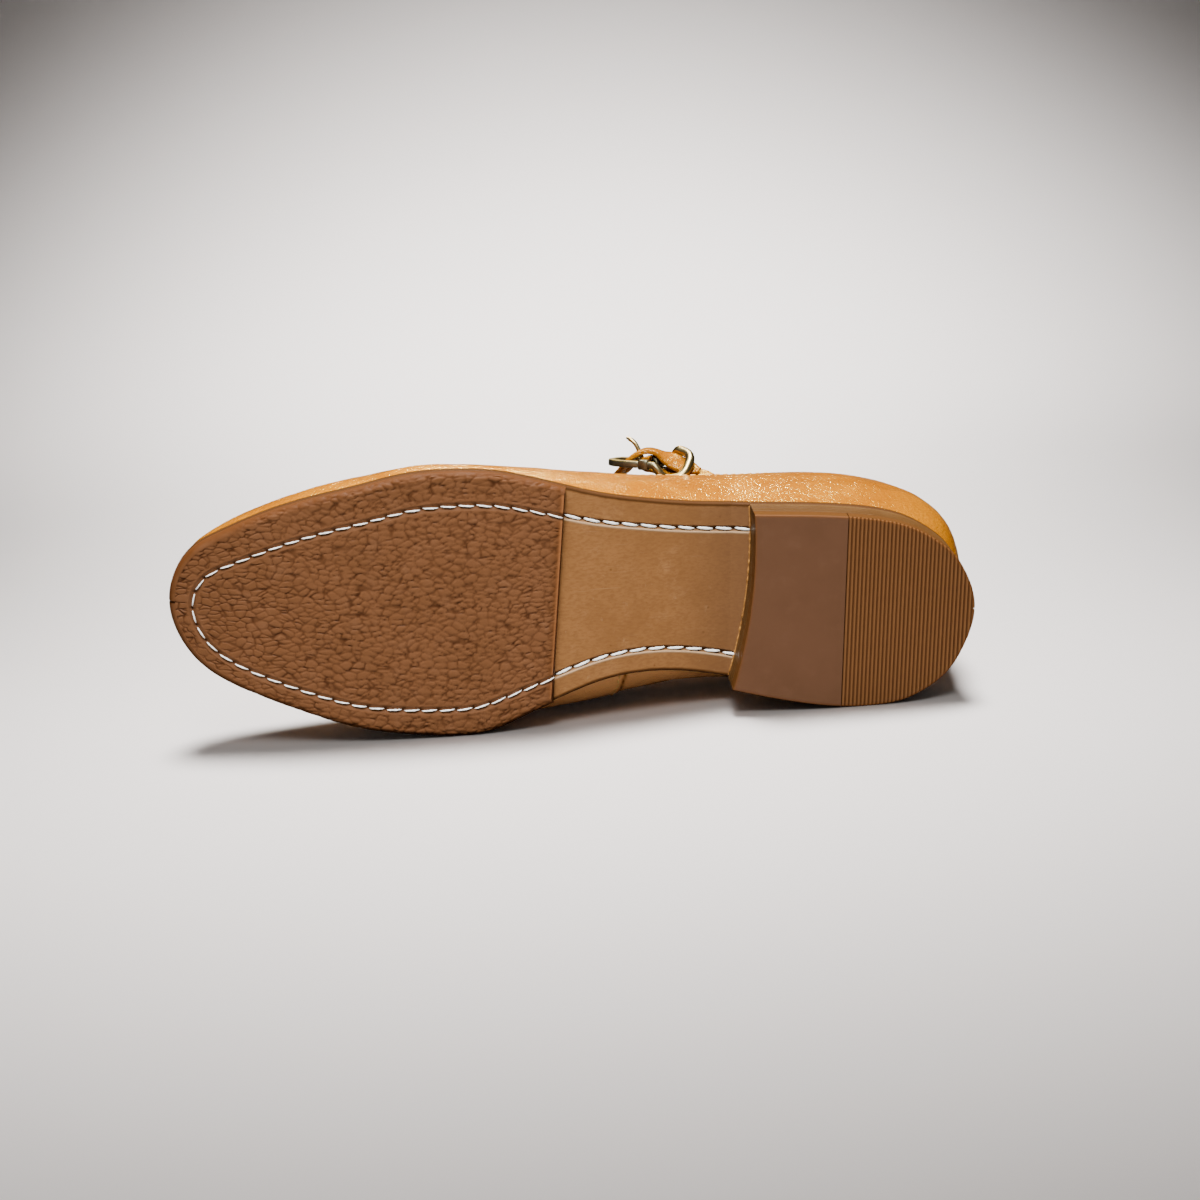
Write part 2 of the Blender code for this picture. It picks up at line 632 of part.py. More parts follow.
def build_buckle(materials, parent, buckle):
    metal = materials["antique_brass"]
    path, outs = buckle.wire(WIRE_STEPS)
    rings = round_sections(path, outs, WIRE_RADIUS, WIRE_SIDES, closed=True)
    faces = tube_faces(WIRE_STEPS, WIRE_SIDES, closed=True)
    frame = new_object("buckle_frame", rings.reshape(-1, 3), faces, metal, parent)
    half = BUCKLE_WIDTH / 2 * (1 - BUCKLE_WAIST)
    outs = np.array([buckle.facing] * 2)
    ends = np.array([buckle.at(0, 0, -half), buckle.at(0, 0, half)])
    rings = round_sections(ends, outs, BAR_RADIUS, BAR_SIDES)
    faces = tube_faces(2, BAR_SIDES)
    bar = new_object("centre_bar", rings.reshape(-1, 3), faces, metal, parent)
    boolean(frame, bar, "UNION")
    reach = BAR_BLOCK / 2
    for name, side in (("far_block", 1), ("near_block", -1)):
        ends = [buckle.at(0, 0, side * (half + end)) for end in (-reach, reach)]
        rings = round_sections(np.array(ends), outs, reach * math.sqrt(2), 4)
        block = new_object(name, rings.reshape(-1, 3), tube_faces(2, 4), metal, parent)
        boolean(frame, block, "UNION")

    wrap = buckle.round_bar(BAR_RADIUS + GAP + PRONG_RADIUS, *PRONG_WRAP, WRAP_STEPS)
    route = np.array(wrap + [buckle.at(*step) for step in PRONG_PASS])
    path, across = evenly_along(route, np.array([buckle.across] * len(route)), PRONG_STEPS)
    share = np.linspace(0, 1, PRONG_STEPS)
    radius = PRONG_RADIUS * np.interp(share, (0, PRONG_TAPER_START, 1), (1, 1, PRONG_TIP))
    rings = round_sections(path, across, radius, WIRE_SIDES)
    faces = tube_faces(PRONG_STEPS, WIRE_SIDES)
    new_object("buckle_prong", rings.reshape(-1, 3), faces, metal, parent)


def density(obj):
    kind = obj.data.materials[0].name
    if "brass" in kind:
        return BRASS_DENSITY
    return RUBBER_DENSITY if "rubber" in kind else LEATHER_DENSITY


def mass_centre(pieces):
    total, moment = 0.0, Vector()
    for obj in pieces:
        obj.data.calc_loop_triangles()
        for triangle in obj.data.loop_triangles:
            a, b, c = (obj.data.vertices[i].co for i in triangle.vertices)
            weight = a.dot(b.cross(c)) / 6 * density(obj)
            total += weight
            moment += weight * (a + b + c) / 4
    return moment / total


def resting_turn(pieces):
    """The turn that lays the shoe on the flat of its convex hull below its weight, inner side down."""
    centre = mass_centre(pieces)
    hull = bmesh.new()
    for obj in pieces:
        for vertex in obj.data.vertices:
            hull.verts.new(vertex.co)
    bmesh.ops.convex_hull(hull, input=hull.verts[:])
    hull.normal_update()
    best, down = 0.0, Vector((0, -1, 0))
    for face in hull.faces:
        a, b, c = (vertex.co for vertex in face.verts)
        foot = centre + face.normal * (a - centre).dot(face.normal)
        edges = ((a, b), (b, c), (c, a))
        held = all(face.normal.dot((q - p).cross(foot - p)) >= 0 for p, q in edges)
        if held and -face.normal.y > best:
            best, down = -face.normal.y, face.normal.copy()
    hull.free()
    up = -down
    toe = Vector((1, 0, 0))
    right = -(toe - up * toe.dot(up)).normalized()
    return Matrix((right, up.cross(right), up))


def lay_on_side(carrier, pieces):
    """Turns the carrier so that the shoe lies at rest, its lowest point at z = 0 and centred."""
    turn = resting_turn(pieces)
    points = [turn @ vertex.co for obj in pieces for vertex in obj.data.vertices]
    low = [min(point[k] for point in points) for k in range(3)]
    high = [max(point[k] for point in points) for k in range(3)]
    carrier.rotation_euler = turn.to_euler()
    carrier.location = (-(low[0] + high[0]) / 2, -(low[1] + high[1]) / 2, -low[2])


def main():
    clear_scene()
    materials = {name: principled(name) for name in MATERIALS}
    carrier = bpy.data.objects.new("shoe_on_its_side", None)
    bpy.context.scene.collection.objects.link(carrier)
    buckle = Buckle()
    build_sole(materials, carrier)
    build_heel(materials, carrier)
    build_upper(materials, carrier)
    build_strap(materials, carrier, buckle)
    build_chape(materials, carrier, buckle)
    build_buckle(materials, carrier, buckle)
    pieces = [obj for obj in bpy.data.objects if obj.type == "MESH" and not obj.hide_render]
    lay_on_side(carrier, pieces)


main()
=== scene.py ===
# %% [markdown]
# # A mary jane flat, dressed for the camera
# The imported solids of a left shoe, lying on its inner side, are the fixed frame of this lesson.
# Each cell below takes one piece of the shoe and gives it the surface of the real thing: crinkled golden
# leather, a pebbled rubber half sole, white lockstitch in its channel, a stacked heel with a ribbed tip.
# The solids could be kept and only painted, but seams, pebbles and ribs are shapes, so every piece is made
# again from the same driving sizes with a much finer mesh, and stands in for its solid.

# %% Load the frame
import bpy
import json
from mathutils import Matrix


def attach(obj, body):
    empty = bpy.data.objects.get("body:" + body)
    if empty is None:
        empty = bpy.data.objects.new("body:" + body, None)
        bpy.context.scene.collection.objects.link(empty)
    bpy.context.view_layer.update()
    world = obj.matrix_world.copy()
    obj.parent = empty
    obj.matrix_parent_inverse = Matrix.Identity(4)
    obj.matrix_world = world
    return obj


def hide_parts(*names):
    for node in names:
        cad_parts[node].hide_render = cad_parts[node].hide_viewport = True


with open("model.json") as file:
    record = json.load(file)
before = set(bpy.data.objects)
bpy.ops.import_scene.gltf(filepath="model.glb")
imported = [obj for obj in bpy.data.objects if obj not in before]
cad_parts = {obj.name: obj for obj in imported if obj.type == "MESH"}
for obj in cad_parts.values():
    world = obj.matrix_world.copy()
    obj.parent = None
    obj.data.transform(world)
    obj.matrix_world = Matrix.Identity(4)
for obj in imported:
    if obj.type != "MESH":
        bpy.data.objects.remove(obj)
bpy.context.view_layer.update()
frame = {"nodes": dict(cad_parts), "record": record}
print("nodes to dress:", ", ".join(sorted(frame["nodes"])))

# %% Tools
import json
import math
from collections import namedtuple

import bmesh
import bpy
import numpy as np
from mathutils import Matrix, Vector, kdtree, noise

# %% [markdown]
# ## The shoe's own axes
# A shoe is easiest to describe standing up: x runs from the heel end to the toe, y towards its outer side,
# z up from the tread. The record holds two flat faces of the tread, one under the heel and one under the
# ball. Their places and their common direction fix those three axes in the world, so every mesh can be
# modelled standing and is then laid down by one matrix. The shaders use the inverse of it to find their way
# back to shoe coordinates.

# %% Shoe axes from the two treads
HEEL_TREAD = (0.060, 0.002)
mounts = {mount["name"]: mount for mount in frame["record"]["mounts"]}
heel_tread = Vector(mounts["heel_tread"]["pos_m"])
forefoot_tread = Vector(mounts["forefoot_tread"]["pos_m"])
up_axis = -Vector(mounts["heel_tread"]["axis"]).normalized()
toe_axis = (forefoot_tread - heel_tread).normalized()
outer_axis = up_axis.cross(toe_axis)
heel_end = heel_tread - toe_axis * HEEL_TREAD[0] - outer_axis * HEEL_TREAD[1]
SHOE = Matrix((toe_axis, outer_axis, up_axis)).transposed().to_4x4()
SHOE.translation = heel_end
STANDING = SHOE.inverted()
print("the outer side points up by", round(math.degrees(math.asin(outer_axis.z)), 1), "degrees")

# %% [markdown]
# ## Driving sizes
# These are the maker's sizes of the last and of each layer, in metres. They are the same that the solids
# were built from, so a finer mesh made from them lies exactly where its solid is.

# %% Sizes of the layers
SHOE_LENGTH = 0.272
GAP = 0.0003
HALF_SOLE_THICK = 0.0033
OUTSOLE_THICK = 0.0036
INSOLE_THICK = 0.0024
INSOLE_CLEARANCE = 0.0007
HEEL_TIP_THICK = 0.0055
HEEL_LIFT_THICK = 0.0045
HEEL_SEAT = HEEL_TIP_THICK + 2 * HEEL_LIFT_THICK + 3 * GAP
FOREPART = HALF_SOLE_THICK + GAP
TOE_SPRING = 0.0088
TOE_SPRING_START = 0.195
WAIST_BACK = 0.082
WAIST_FRONT = 0.147
WAIST_FULLNESS = 0.9
HEEL_TIP_JOINT = 0.0443
BREAST_OUTER = 0.0759
BREAST_INNER = 0.0816
BREAST_HOLLOW = 0.0026
HALF_SOLE_OUTER = 0.1390
HALF_SOLE_INNER = 0.1426
UPPER_WALL = 0.0018
RIB_FAN_REACH = 0.020
FINE_TURNS = 4000
OUTER, INNER = 1, -1
Plan = namedtuple("Plan", "x outer inner")
SOLE_PLAN = [
    Plan(0.000, 0.0010, 0.0010),
    Plan(0.003, 0.0125, -0.0120),
    Plan(0.008, 0.0202, -0.0210),
    Plan(0.014, 0.0250, -0.0265),
    Plan(0.022, 0.0293, -0.0310),
    Plan(0.032, 0.0320, -0.0332),
    Plan(0.044, 0.0333, -0.0337),
    Plan(0.060, 0.0339, -0.0320),
    Plan(0.080, 0.0342, -0.0280),
    Plan(0.100, 0.0357, -0.0241),
    Plan(0.115, 0.0378, -0.0238),
    Plan(0.128, 0.0402, -0.0263),
    Plan(0.140, 0.0433, -0.0310),
    Plan(0.152, 0.0462, -0.0366),
    Plan(0.164, 0.0482, -0.0421),
    Plan(0.177, 0.0485, -0.0437),
    Plan(0.192, 0.0471, -0.0430),
    Plan(0.208, 0.0430, -0.0409),
    Plan(0.224, 0.0388, -0.0364),
    Plan(0.240, 0.0332, -0.0308),
    Plan(0.254, 0.0266, -0.0248),
    Plan(0.263, 0.0212, -0.0184),
    Plan(0.269, 0.0138, -0.0100),
    Plan(0.272, 0.0020, 0.0020),
]
print("sole plan:", len(SOLE_PLAN), "stations over", SHOE_LENGTH, "m")

# %% [markdown]
# ## Smooth lines through a few sizes
# A last has no corners, so the stations are joined by cubic splines: closed ones round the sole, open ones
# along a strap. Going round the sole is measured by an angle, 0 at the heel end and pi at the toe, which
# spaces points closely where the outline turns.

# %% Splines and the sole's edge
def smooth_curve(knots, values, period=None):
    """A cubic spline through the values: closed when a period is given, otherwise with free ends."""
    t = np.asarray(knots, float)
    v = np.asarray(values, float)
    if period:
        t = np.append(t, t[0] + period)
        v = np.concatenate([v, v[:1]])
    step = np.diff(t)
    slope = (np.diff(v, axis=0).T / step).T
    n = len(t)
    system = np.eye(n)
    right = np.zeros_like(v)
    for i in range(1, n - 1):
        system[i, i - 1 : i + 2] = step[i - 1], 2 * (step[i - 1] + step[i]), step[i]
        right[i] = 6 * (slope[i] - slope[i - 1])
    if period:
        system[0, [0, 1, n - 2]] = 2 * (step[-1] + step[0]), step[0], step[-1]
        right[0] = 6 * (slope[0] - slope[-1])
        system[-1, 0] = -1
    bend = np.linalg.solve(system, right)

    def at(where):
        where = np.asarray(where, float)
        if period:
            where = t[0] + np.mod(where - t[0], period)
        i = np.clip(np.searchsorted(t, where, side="right") - 1, 0, n - 2)
        h = step[i]
        a = (t[i + 1] - where) / h
        b = 1 - a
        shape = (slice(None),) + (None,) * (v.ndim - 1) if np.ndim(where) else ()
        a, b, h = a[shape], b[shape], h[shape]
        cubic = ((a**3 - a) * bend[i] + (b**3 - b) * bend[i + 1]) * h * h / 6
        return a * v[i] + b * v[i + 1] + cubic

    return at


def turn_of(x, side=OUTER):
    """Angle round the sole for a distance from the heel end."""
    angle = np.arccos(np.clip(1 - 2 * np.asarray(x, float) / SHOE_LENGTH, -1, 1))
    return angle if side == OUTER else 2 * math.pi - angle


outer_knots = [(turn_of(row.x), row.outer) for row in SOLE_PLAN]
inner_knots = [(turn_of(row.x, INNER), row.inner) for row in SOLE_PLAN[-2:0:-1]]
EDGE_Y = smooth_curve(*np.array(outer_knots + inner_knots).T, period=2 * math.pi)


def unit(vectors):
    return vectors / np.linalg.norm(vectors, axis=-1, keepdims=True)


def run_along(points):
    """Way covered along a line of points, from 0 at the first."""
    return np.concatenate([[0], np.cumsum(np.linalg.norm(np.diff(points, axis=0), axis=1))])


def between(where, run, values):
    """Rows of values, read off between the places of a run."""
    return np.stack([np.interp(where, run, column) for column in np.transpose(values)], axis=1)


def edge(turn, inset=0.0):
    """Points on the sole's edge in plan, moved inwards by the inset, and their outward directions."""
    turn = np.asarray(turn, float)
    small = 1e-4

    def on_edge(angle):
        return np.stack([SHOE_LENGTH / 2 * (1 - np.cos(angle)), EDGE_Y(angle)], axis=-1)

    along = on_edge(turn + small) - on_edge(turn - small)
    out = unit(np.stack([-along[..., 1], along[..., 0]], axis=-1))
    return on_edge(turn) - out * np.asarray(inset)[..., None], out


def underside(x):
    """Height of the leather outsole's underside: heel seat, waist, ball and toe spring."""
    x = np.asarray(x, float)
    share = np.clip((x - WAIST_BACK) / (WAIST_FRONT - WAIST_BACK), 0, 1)
    waist = (1 - share) ** 2 * (1 + WAIST_FULLNESS * share)
    toe = np.clip((x - TOE_SPRING_START) / (SHOE_LENGTH - TOE_SPRING_START), 0, None)
    return FOREPART + (HEEL_SEAT - FOREPART) * waist + TOE_SPRING * toe**2


def outsole_top(x):
    return underside(x) + OUTSOLE_THICK


def even_turns(count, start=0.0, end=2 * math.pi):
    """Angles round the sole that space points evenly along its edge."""
    fine = np.linspace(start, end, FINE_TURNS)
    run = run_along(edge(fine)[0])
    return np.interp(np.linspace(0, run[-1], count), run, fine)


outline, _ = edge(even_turns(2001))
print("way round the sole:", round(float(run_along(outline)[-1]), 4), "m")

# %% [markdown]
# ## From grids of points to pieces
# Nearly every piece here is a skin of rings, so one helper makes the faces of a grid and another turns the
# points into an object. It also stores named marks at the points, such as how deep a crease lies there.
# A shader can read them with an Attribute node, and paint shade into the colour where the shape really is
# hollow.

# %% Mesh helpers
def grid_faces(rows, columns, close_rows=False, cap=True):
    """Quads of a skin whose rings close on themselves, capped at its ends unless the rows close too."""
    i, j = np.meshgrid(np.arange(rows if close_rows else rows - 1), np.arange(columns), indexing="ij")
    i, j = i.ravel(), j.ravel()
    k, m = (i + 1) % rows, (j + 1) % columns
    corners = (i * columns + j, k * columns + j, k * columns + m, i * columns + m)
    faces = np.stack(corners, axis=1).tolist()
    if cap and not close_rows:
        faces.append(list(range(columns)))
        faces.append(list(range((rows - 1) * columns, rows * columns)))
    return faces


def mesh_object(name, points, material=None, marks=None, sharp=50, faces=None, closed=False):
    """An object from points; where no faces are given, the points are the rings of a skin."""
    if faces is None:
        faces = grid_faces(*np.shape(points)[:2], close_rows=closed)
    mesh = bpy.data.meshes.new(name)
    mesh.from_pydata(np.reshape(points, (-1, 3)).tolist(), [], faces)
    shape = bmesh.new()
    shape.from_mesh(mesh)
    bmesh.ops.recalc_face_normals(shape, faces=shape.faces[:])
    shape.to_mesh(mesh)
    shape.free()
    for mark, values in (marks or {}).items():
        attribute = mesh.attributes.new(mark, "FLOAT", "POINT")
        attribute.data.foreach_set("value", np.asarray(values, np.float32).ravel())
    mesh.shade_smooth()
    mesh.set_sharp_from_angle(angle=math.radians(sharp))
    if material:
        mesh.materials.append(material)
    obj = bpy.data.objects.new(name, mesh)
    bpy.context.scene.collection.objects.link(obj)
    return obj


def dress(obj, replaces=()):
    """Lays a piece down with the shoe, lets it ride on the part and hides the solids it stands for."""
    obj.data.transform(SHOE)
    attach(obj, "root")
    if replaces:
        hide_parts(*replaces)
    print(f"{obj.name}: {len(obj.data.vertices)} points, {len(obj.data.polygons)} faces")
    return obj


def soft_step(low, high, value):
    share = np.clip((value - low) / (high - low), 0, 1)
    return share * share * (3 - 2 * share)


def on_stretch(value, start, full, fade, end):
    """1 on a stretch of values, with soft ends."""
    return soft_step(start, full, value) * (1 - soft_step(fade, end, value))


def hump(offset, width):
    """1 at no offset, falling away smoothly on both sides."""
    return np.exp(-((offset / width) ** 2))


def blank_marks(rings, *names):
    return {name: np.zeros(np.shape(rings)[:2]) for name in names}


def nearest_on(line, points):
    """For each point in plan, the distance to the nearest point of a line and that point's number."""
    tree = kdtree.KDTree(len(line))
    for number, spot in enumerate(line):
        tree.insert((spot[0], spot[1], 0.0), number)
    tree.balance()
    found = [tree.find((x, y, 0.0))[1:] for x, y in np.reshape(points, (-1, 2)).tolist()]
    number, distance = np.array(found).T
    shape = np.shape(points)[:-1]
    return distance.reshape(shape), number.astype(int).reshape(shape)


print("helpers ready")

# %% [markdown]
# ## Shader helpers and shared effects
# A finish is mixed from a few effects that several materials share. Each is a node group with named
# sockets: `leather_grain` gives a height and its valleys, `tone_drift` lets a colour wander between a shade
# and a glow, `wear_marks` gives specks and scratches, `edge_tone` tints the rim of a piece. A group can be
# opened and tried in any other file; the shaders themselves stay in each material.

# %% Node helpers
def shader_node(tree, kind, inputs=None, **settings):
    made = tree.nodes.new("ShaderNode" + kind)
    for key, value in settings.items():
        setattr(made, key, value)
    for key, value in (inputs or {}).items():
        if isinstance(value, bpy.types.NodeSocket):
            tree.links.new(value, made.inputs[key])
        else:
            made.inputs[key].default_value = value
    return made


def calculate(tree, operation, first, second=0.0):
    return shader_node(tree, "Math", {0: first, 1: second}, operation=operation).outputs[0]


def scale_place(tree, place, factor):
    return shader_node(tree, "VectorMath", {0: place, "Scale": factor}, operation="SCALE").outputs[0]


def stretch_place(tree, place, factors):
    return shader_node(tree, "VectorMath", {0: place, 1: factors}, operation="MULTIPLY").outputs[0]


def mix_colour(tree, share, first, second):
    return shader_node(tree, "Mix", {0: share, 6: first, 7: second}, data_type="RGBA").outputs[2]


def remap(tree, value, low, high, to_low=0.0, to_high=1.0):
    limits = {"Value": value, "From Min": low, "From Max": high, "To Min": to_low, "To Max": to_high}
    return shader_node(tree, "MapRange", limits, interpolation_type="SMOOTHSTEP").outputs["Result"]


def noise_value(tree, place, scale, detail=2.0, roughness=0.5):
    settings = {"Vector": place, "Scale": scale, "Detail": detail, "Roughness": roughness}
    return shader_node(tree, "TexNoise", settings).outputs["Fac"]


def shader_group(name, inputs, outputs):
    """An empty node group with named sockets, and the sockets to build between."""
    tree = bpy.data.node_groups.new(name, "ShaderNodeTree")
    for label, kind, value in inputs:
        socket = tree.interface.new_socket(label, in_out="INPUT", socket_type="NodeSocket" + kind)
        if value is not None:
            socket.default_value = value
    for label, kind in outputs:
        tree.interface.new_socket(label, in_out="OUTPUT", socket_type="NodeSocket" + kind)
    given = tree.nodes.new("NodeGroupInput").outputs
    result = tree.nodes.new("NodeGroupOutput").inputs
    return tree, given, result


print("node helpers ready")

# %% Effect: leather grain
def build_leather_grain():
    sockets = [("Place", "Vector", None), ("Cell Size", "Float", 0.001), ("Crinkle", "Float", 0.4)]
    tree, given, result = shader_group("leather_grain", sockets, [("Height", "Float"), ("Valley", "Float")])
    place = scale_place(tree, given["Place"], calculate(tree, "DIVIDE", 1.0, given["Cell Size"]))
    wander = shader_node(tree, "TexNoise", {"Vector": place, "Scale": 0.5, "Detail": 2.0}).outputs["Color"]
    bent = shader_node(tree, "VectorMath", {0: place, 1: wander}, operation="ADD").outputs[0]
    cells = shader_node(tree, "TexVoronoi", {"Vector": bent, "Scale": 1.0}, feature="DISTANCE_TO_EDGE")
    pebble = remap(tree, cells.outputs["Distance"], 0.01, 0.22)
    pores = noise_value(tree, place, 3.0, 3.0)
    folds = noise_value(tree, bent, 0.23, 4.0, 0.6)
    fold_line = remap(tree, calculate(tree, "ABSOLUTE", calculate(tree, "SUBTRACT", folds, 0.5)), 0.0, 0.05)
    crinkled = calculate(tree, "MULTIPLY", fold_line, given["Crinkle"])
    height = calculate(tree, "ADD", calculate(tree, "MULTIPLY", pebble, 0.5), crinkled)
    height = calculate(tree, "ADD", height, calculate(tree, "MULTIPLY", pores, 0.2))
    tree.links.new(height, result["Height"])
    tree.links.new(calculate(tree, "SUBTRACT", 1.0, pebble), result["Valley"])
    return tree


LEATHER_GRAIN = build_leather_grain()
print("leather_grain:", len(LEATHER_GRAIN.nodes), "nodes")

# %% Effect: drifting tone
def build_tone_drift():
    sockets = [("Place", "Vector", None), ("Patch Size", "Float", 0.02), ("Colour", "Color", None)]
    sockets += [("Shade", "Color", None), ("Glow", "Color", None)]
    tree, given, result = shader_group("tone_drift", sockets, [("Colour", "Color"), ("Drift", "Float")])
    place = scale_place(tree, given["Place"], calculate(tree, "DIVIDE", 1.0, given["Patch Size"]))
    broad = noise_value(tree, place, 1.0, 4.0, 0.6)
    fine = noise_value(tree, place, 2.7, 5.0, 0.65)
    shaded = mix_colour(tree, remap(tree, broad, 0.30, 0.62), given["Shade"], given["Colour"])
    toned = mix_colour(tree, remap(tree, fine, 0.50, 0.80), shaded, given["Glow"])
    tree.links.new(toned, result["Colour"])
    tree.links.new(fine, result["Drift"])
    return tree


TONE_DRIFT = build_tone_drift()
print("tone_drift:", len(TONE_DRIFT.nodes), "nodes")

# %% Effect: wear marks
def build_wear_marks():
    sockets = [("Place", "Vector", None), ("Spacing", "Float", 0.01)]
    tree, given, result = shader_group("wear_marks", sockets, [("Specks", "Float"), ("Scratches", "Float")])
    place = scale_place(tree, given["Place"], calculate(tree, "DIVIDE", 1.0, given["Spacing"]))
    dots = shader_node(tree, "TexVoronoi", {"Vector": place, "Scale": 1.0, "Randomness": 1.0})
    tree.links.new(remap(tree, dots.outputs["Distance"], 0.03, 0.07, 1.0, 0.0), result["Specks"])
    crossed = []
    for factors in ((0.35, 9.0, 1.0), (4.0, 2.6, 1.0)):
        streaks = noise_value(tree, stretch_place(tree, place, factors), 1.0, 3.0, 0.6)
        crossed.append(remap(tree, streaks, 0.66, 0.74))
    tree.links.new(calculate(tree, "MAXIMUM", *crossed), result["Scratches"])
    return tree


WEAR_MARKS = build_wear_marks()
print("wear_marks:", len(WEAR_MARKS.nodes), "nodes")

# %% Effect: edge tone
def build_edge_tone():
    sockets = [("Colour", "Color", None), ("Edge Colour", "Color", None), ("Edge", "Float", 0.0)]
    sockets += [("Place", "Vector", None), ("Raggedness", "Float", 0.5)]
    tree, given, result = shader_group("edge_tone", sockets, [("Colour", "Color")])
    ragged = noise_value(tree, scale_place(tree, given["Place"], 260.0), 1.0, 3.0)
    uneven = calculate(tree, "MULTIPLY", calculate(tree, "SUBTRACT", ragged, 0.5), given["Raggedness"])
    reach = remap(tree, calculate(tree, "ADD", given["Edge"], uneven), 0.15, 0.95)
    tree.links.new(mix_colour(tree, reach, given["Colour"], given["Edge Colour"]), result["Colour"])
    return tree


EDGE_TONE = build_edge_tone()
print("edge_tone:", len(EDGE_TONE.nodes), "nodes")

# %% [markdown]
# ## A material in a few lines
# Every finish starts the same way: a Principled BSDF with its constant values set on its own sockets, a
# Mapping node that stands the lying shoe up again, so that patterns follow the shoe and not the room, and
# three tones to drift between. The other helpers lay a colour over the last one, all over or by a mark of
# the mesh, and hang a bump on the normal.

# %% Material helpers
DRIFT_RANGE = (0.3, 0.7)


def add_group(tree, group, inputs):
    return shader_node(tree, "Group", inputs, node_tree=group).outputs


def finish(name, patch, tones, roughness, **constants):
    """A material whose colour wanders between a shade, a main tone and a glow, in linear colours.

    The roughness is one number, or the pair of numbers between which it wanders too.
    """
    made = bpy.data.materials.new(name)
    made.use_nodes = True
    tree = made.node_tree
    shader = tree.nodes["Principled BSDF"]
    for label, value in constants.items():
        shader.inputs[label.replace("_", " ")].default_value = value
    lying = tree.nodes.new("ShaderNodeTexCoord").outputs["Object"]
    stand_up = {"Vector": lying, "Location": STANDING.translation, "Rotation": STANDING.to_euler()}
    place = shader_node(tree, "Mapping", stand_up).outputs["Vector"]
    drift = {"Place": place, "Patch Size": patch}
    drift.update({label: (*tone, 1) for label, tone in zip(("Shade", "Colour", "Glow"), tones)})
    tone = add_group(tree, TONE_DRIFT, drift)
    shader.inputs["Roughness"].default_value = np.mean(roughness)
    if np.ndim(roughness):
        feed(tree, shader, Roughness=remap(tree, tone["Drift"], *DRIFT_RANGE, *roughness))
    return made, tree, shader, place, tone["Colour"]


def feed(tree, shader, **sockets):
    for label, value in sockets.items():
        tree.links.new(value, shader.inputs[label.replace("_", " ")])


def read_mark(tree, name):
    return shader_node(tree, "Attribute", attribute_name=name).outputs["Fac"]


def tinted(tree, share, under, colour):
    """A plain colour laid over what is under it."""
    return mix_colour(tree, share, under, (*colour, 1))


def marked(tree, mark, under, colour):
    """A plain colour laid on as strongly as a mark of the mesh says."""
    return tinted(tree, read_mark(tree, mark), under, colour)


def edge_toned(tree, place, under, colour, raggedness):
    """Tints the rim of a piece, where its mesh carries the mark side."""
    inputs = {"Colour": under, "Edge Colour": (*colour, 1), "Edge": read_mark(tree, "side")}
    return add_group(tree, EDGE_TONE, {**inputs, "Place": place, "Raggedness": raggedness})["Colour"]


def grained(tree, place, cell_size, crinkle):
    return add_group(tree, LEATHER_GRAIN, {"Place": place, "Cell Size": cell_size, "Crinkle": crinkle})


def add_bump(tree, shader, height, strength, depth):
    made = shader_node(tree, "Bump", {"Height": height, "Strength": strength, "Distance": depth})
    feed(tree, shader, Normal=made.outputs["Normal"])


print("material helpers ready")

# %% [markdown]
# ## Golden upper leather
# The upper is a supple, glossy calf leather with a crinkled grain. Its shine breaks into small sparkles
# because every pebble of the grain tips the normal a little. So the gloss is kept fairly sharp and the
# grain is put in the bump, rather than painting light spots. The grain's valleys are painted darker, as
# painted shade. Two marks of the mesh change the tone: folds get painted shade, and the leather low on the
# inner side of the waist is painted paler, as painted bounce light from the floor.

# %% Upper leather material
def make_upper_leather():
    tones = (0.215, 0.073, 0.0005), (0.295, 0.112, 0.0006), (0.37, 0.150, 0.0012)
    shine = {"Specular_IOR_Level": 0.35, "Specular_Tint": (1.0, 0.85, 0.55, 1)}
    made, tree, shader, place, colour = finish("upper_leather", 0.022, tones, (0.13, 0.19), **shine)
    grain = grained(tree, place, 0.0014, 1.0)
    # Painted shade: the colour is darkened in the valleys of the grain.
    painted_valley_shade = calculate(tree, "MULTIPLY", grain["Valley"], 0.55)
    colour = tinted(tree, painted_valley_shade, colour, (0.20, 0.060, 0.0006))
    # Painted shade in the folds and along the lapped cut edge.
    colour = marked(tree, "fold", colour, (0.15, 0.043, 0.0008))
    # Painted bounce light: paler colour low on the inner side of the waist.
    colour = marked(tree, "painted_bounce_light", colour, (0.85, 0.40, 0.150))
    feed(tree, shader, Base_Color=colour)
    add_bump(tree, shader, grain["Height"], 0.9, 0.00010)
    return made


UPPER_LEATHER = make_upper_leather()
print("made", UPPER_LEATHER.name)
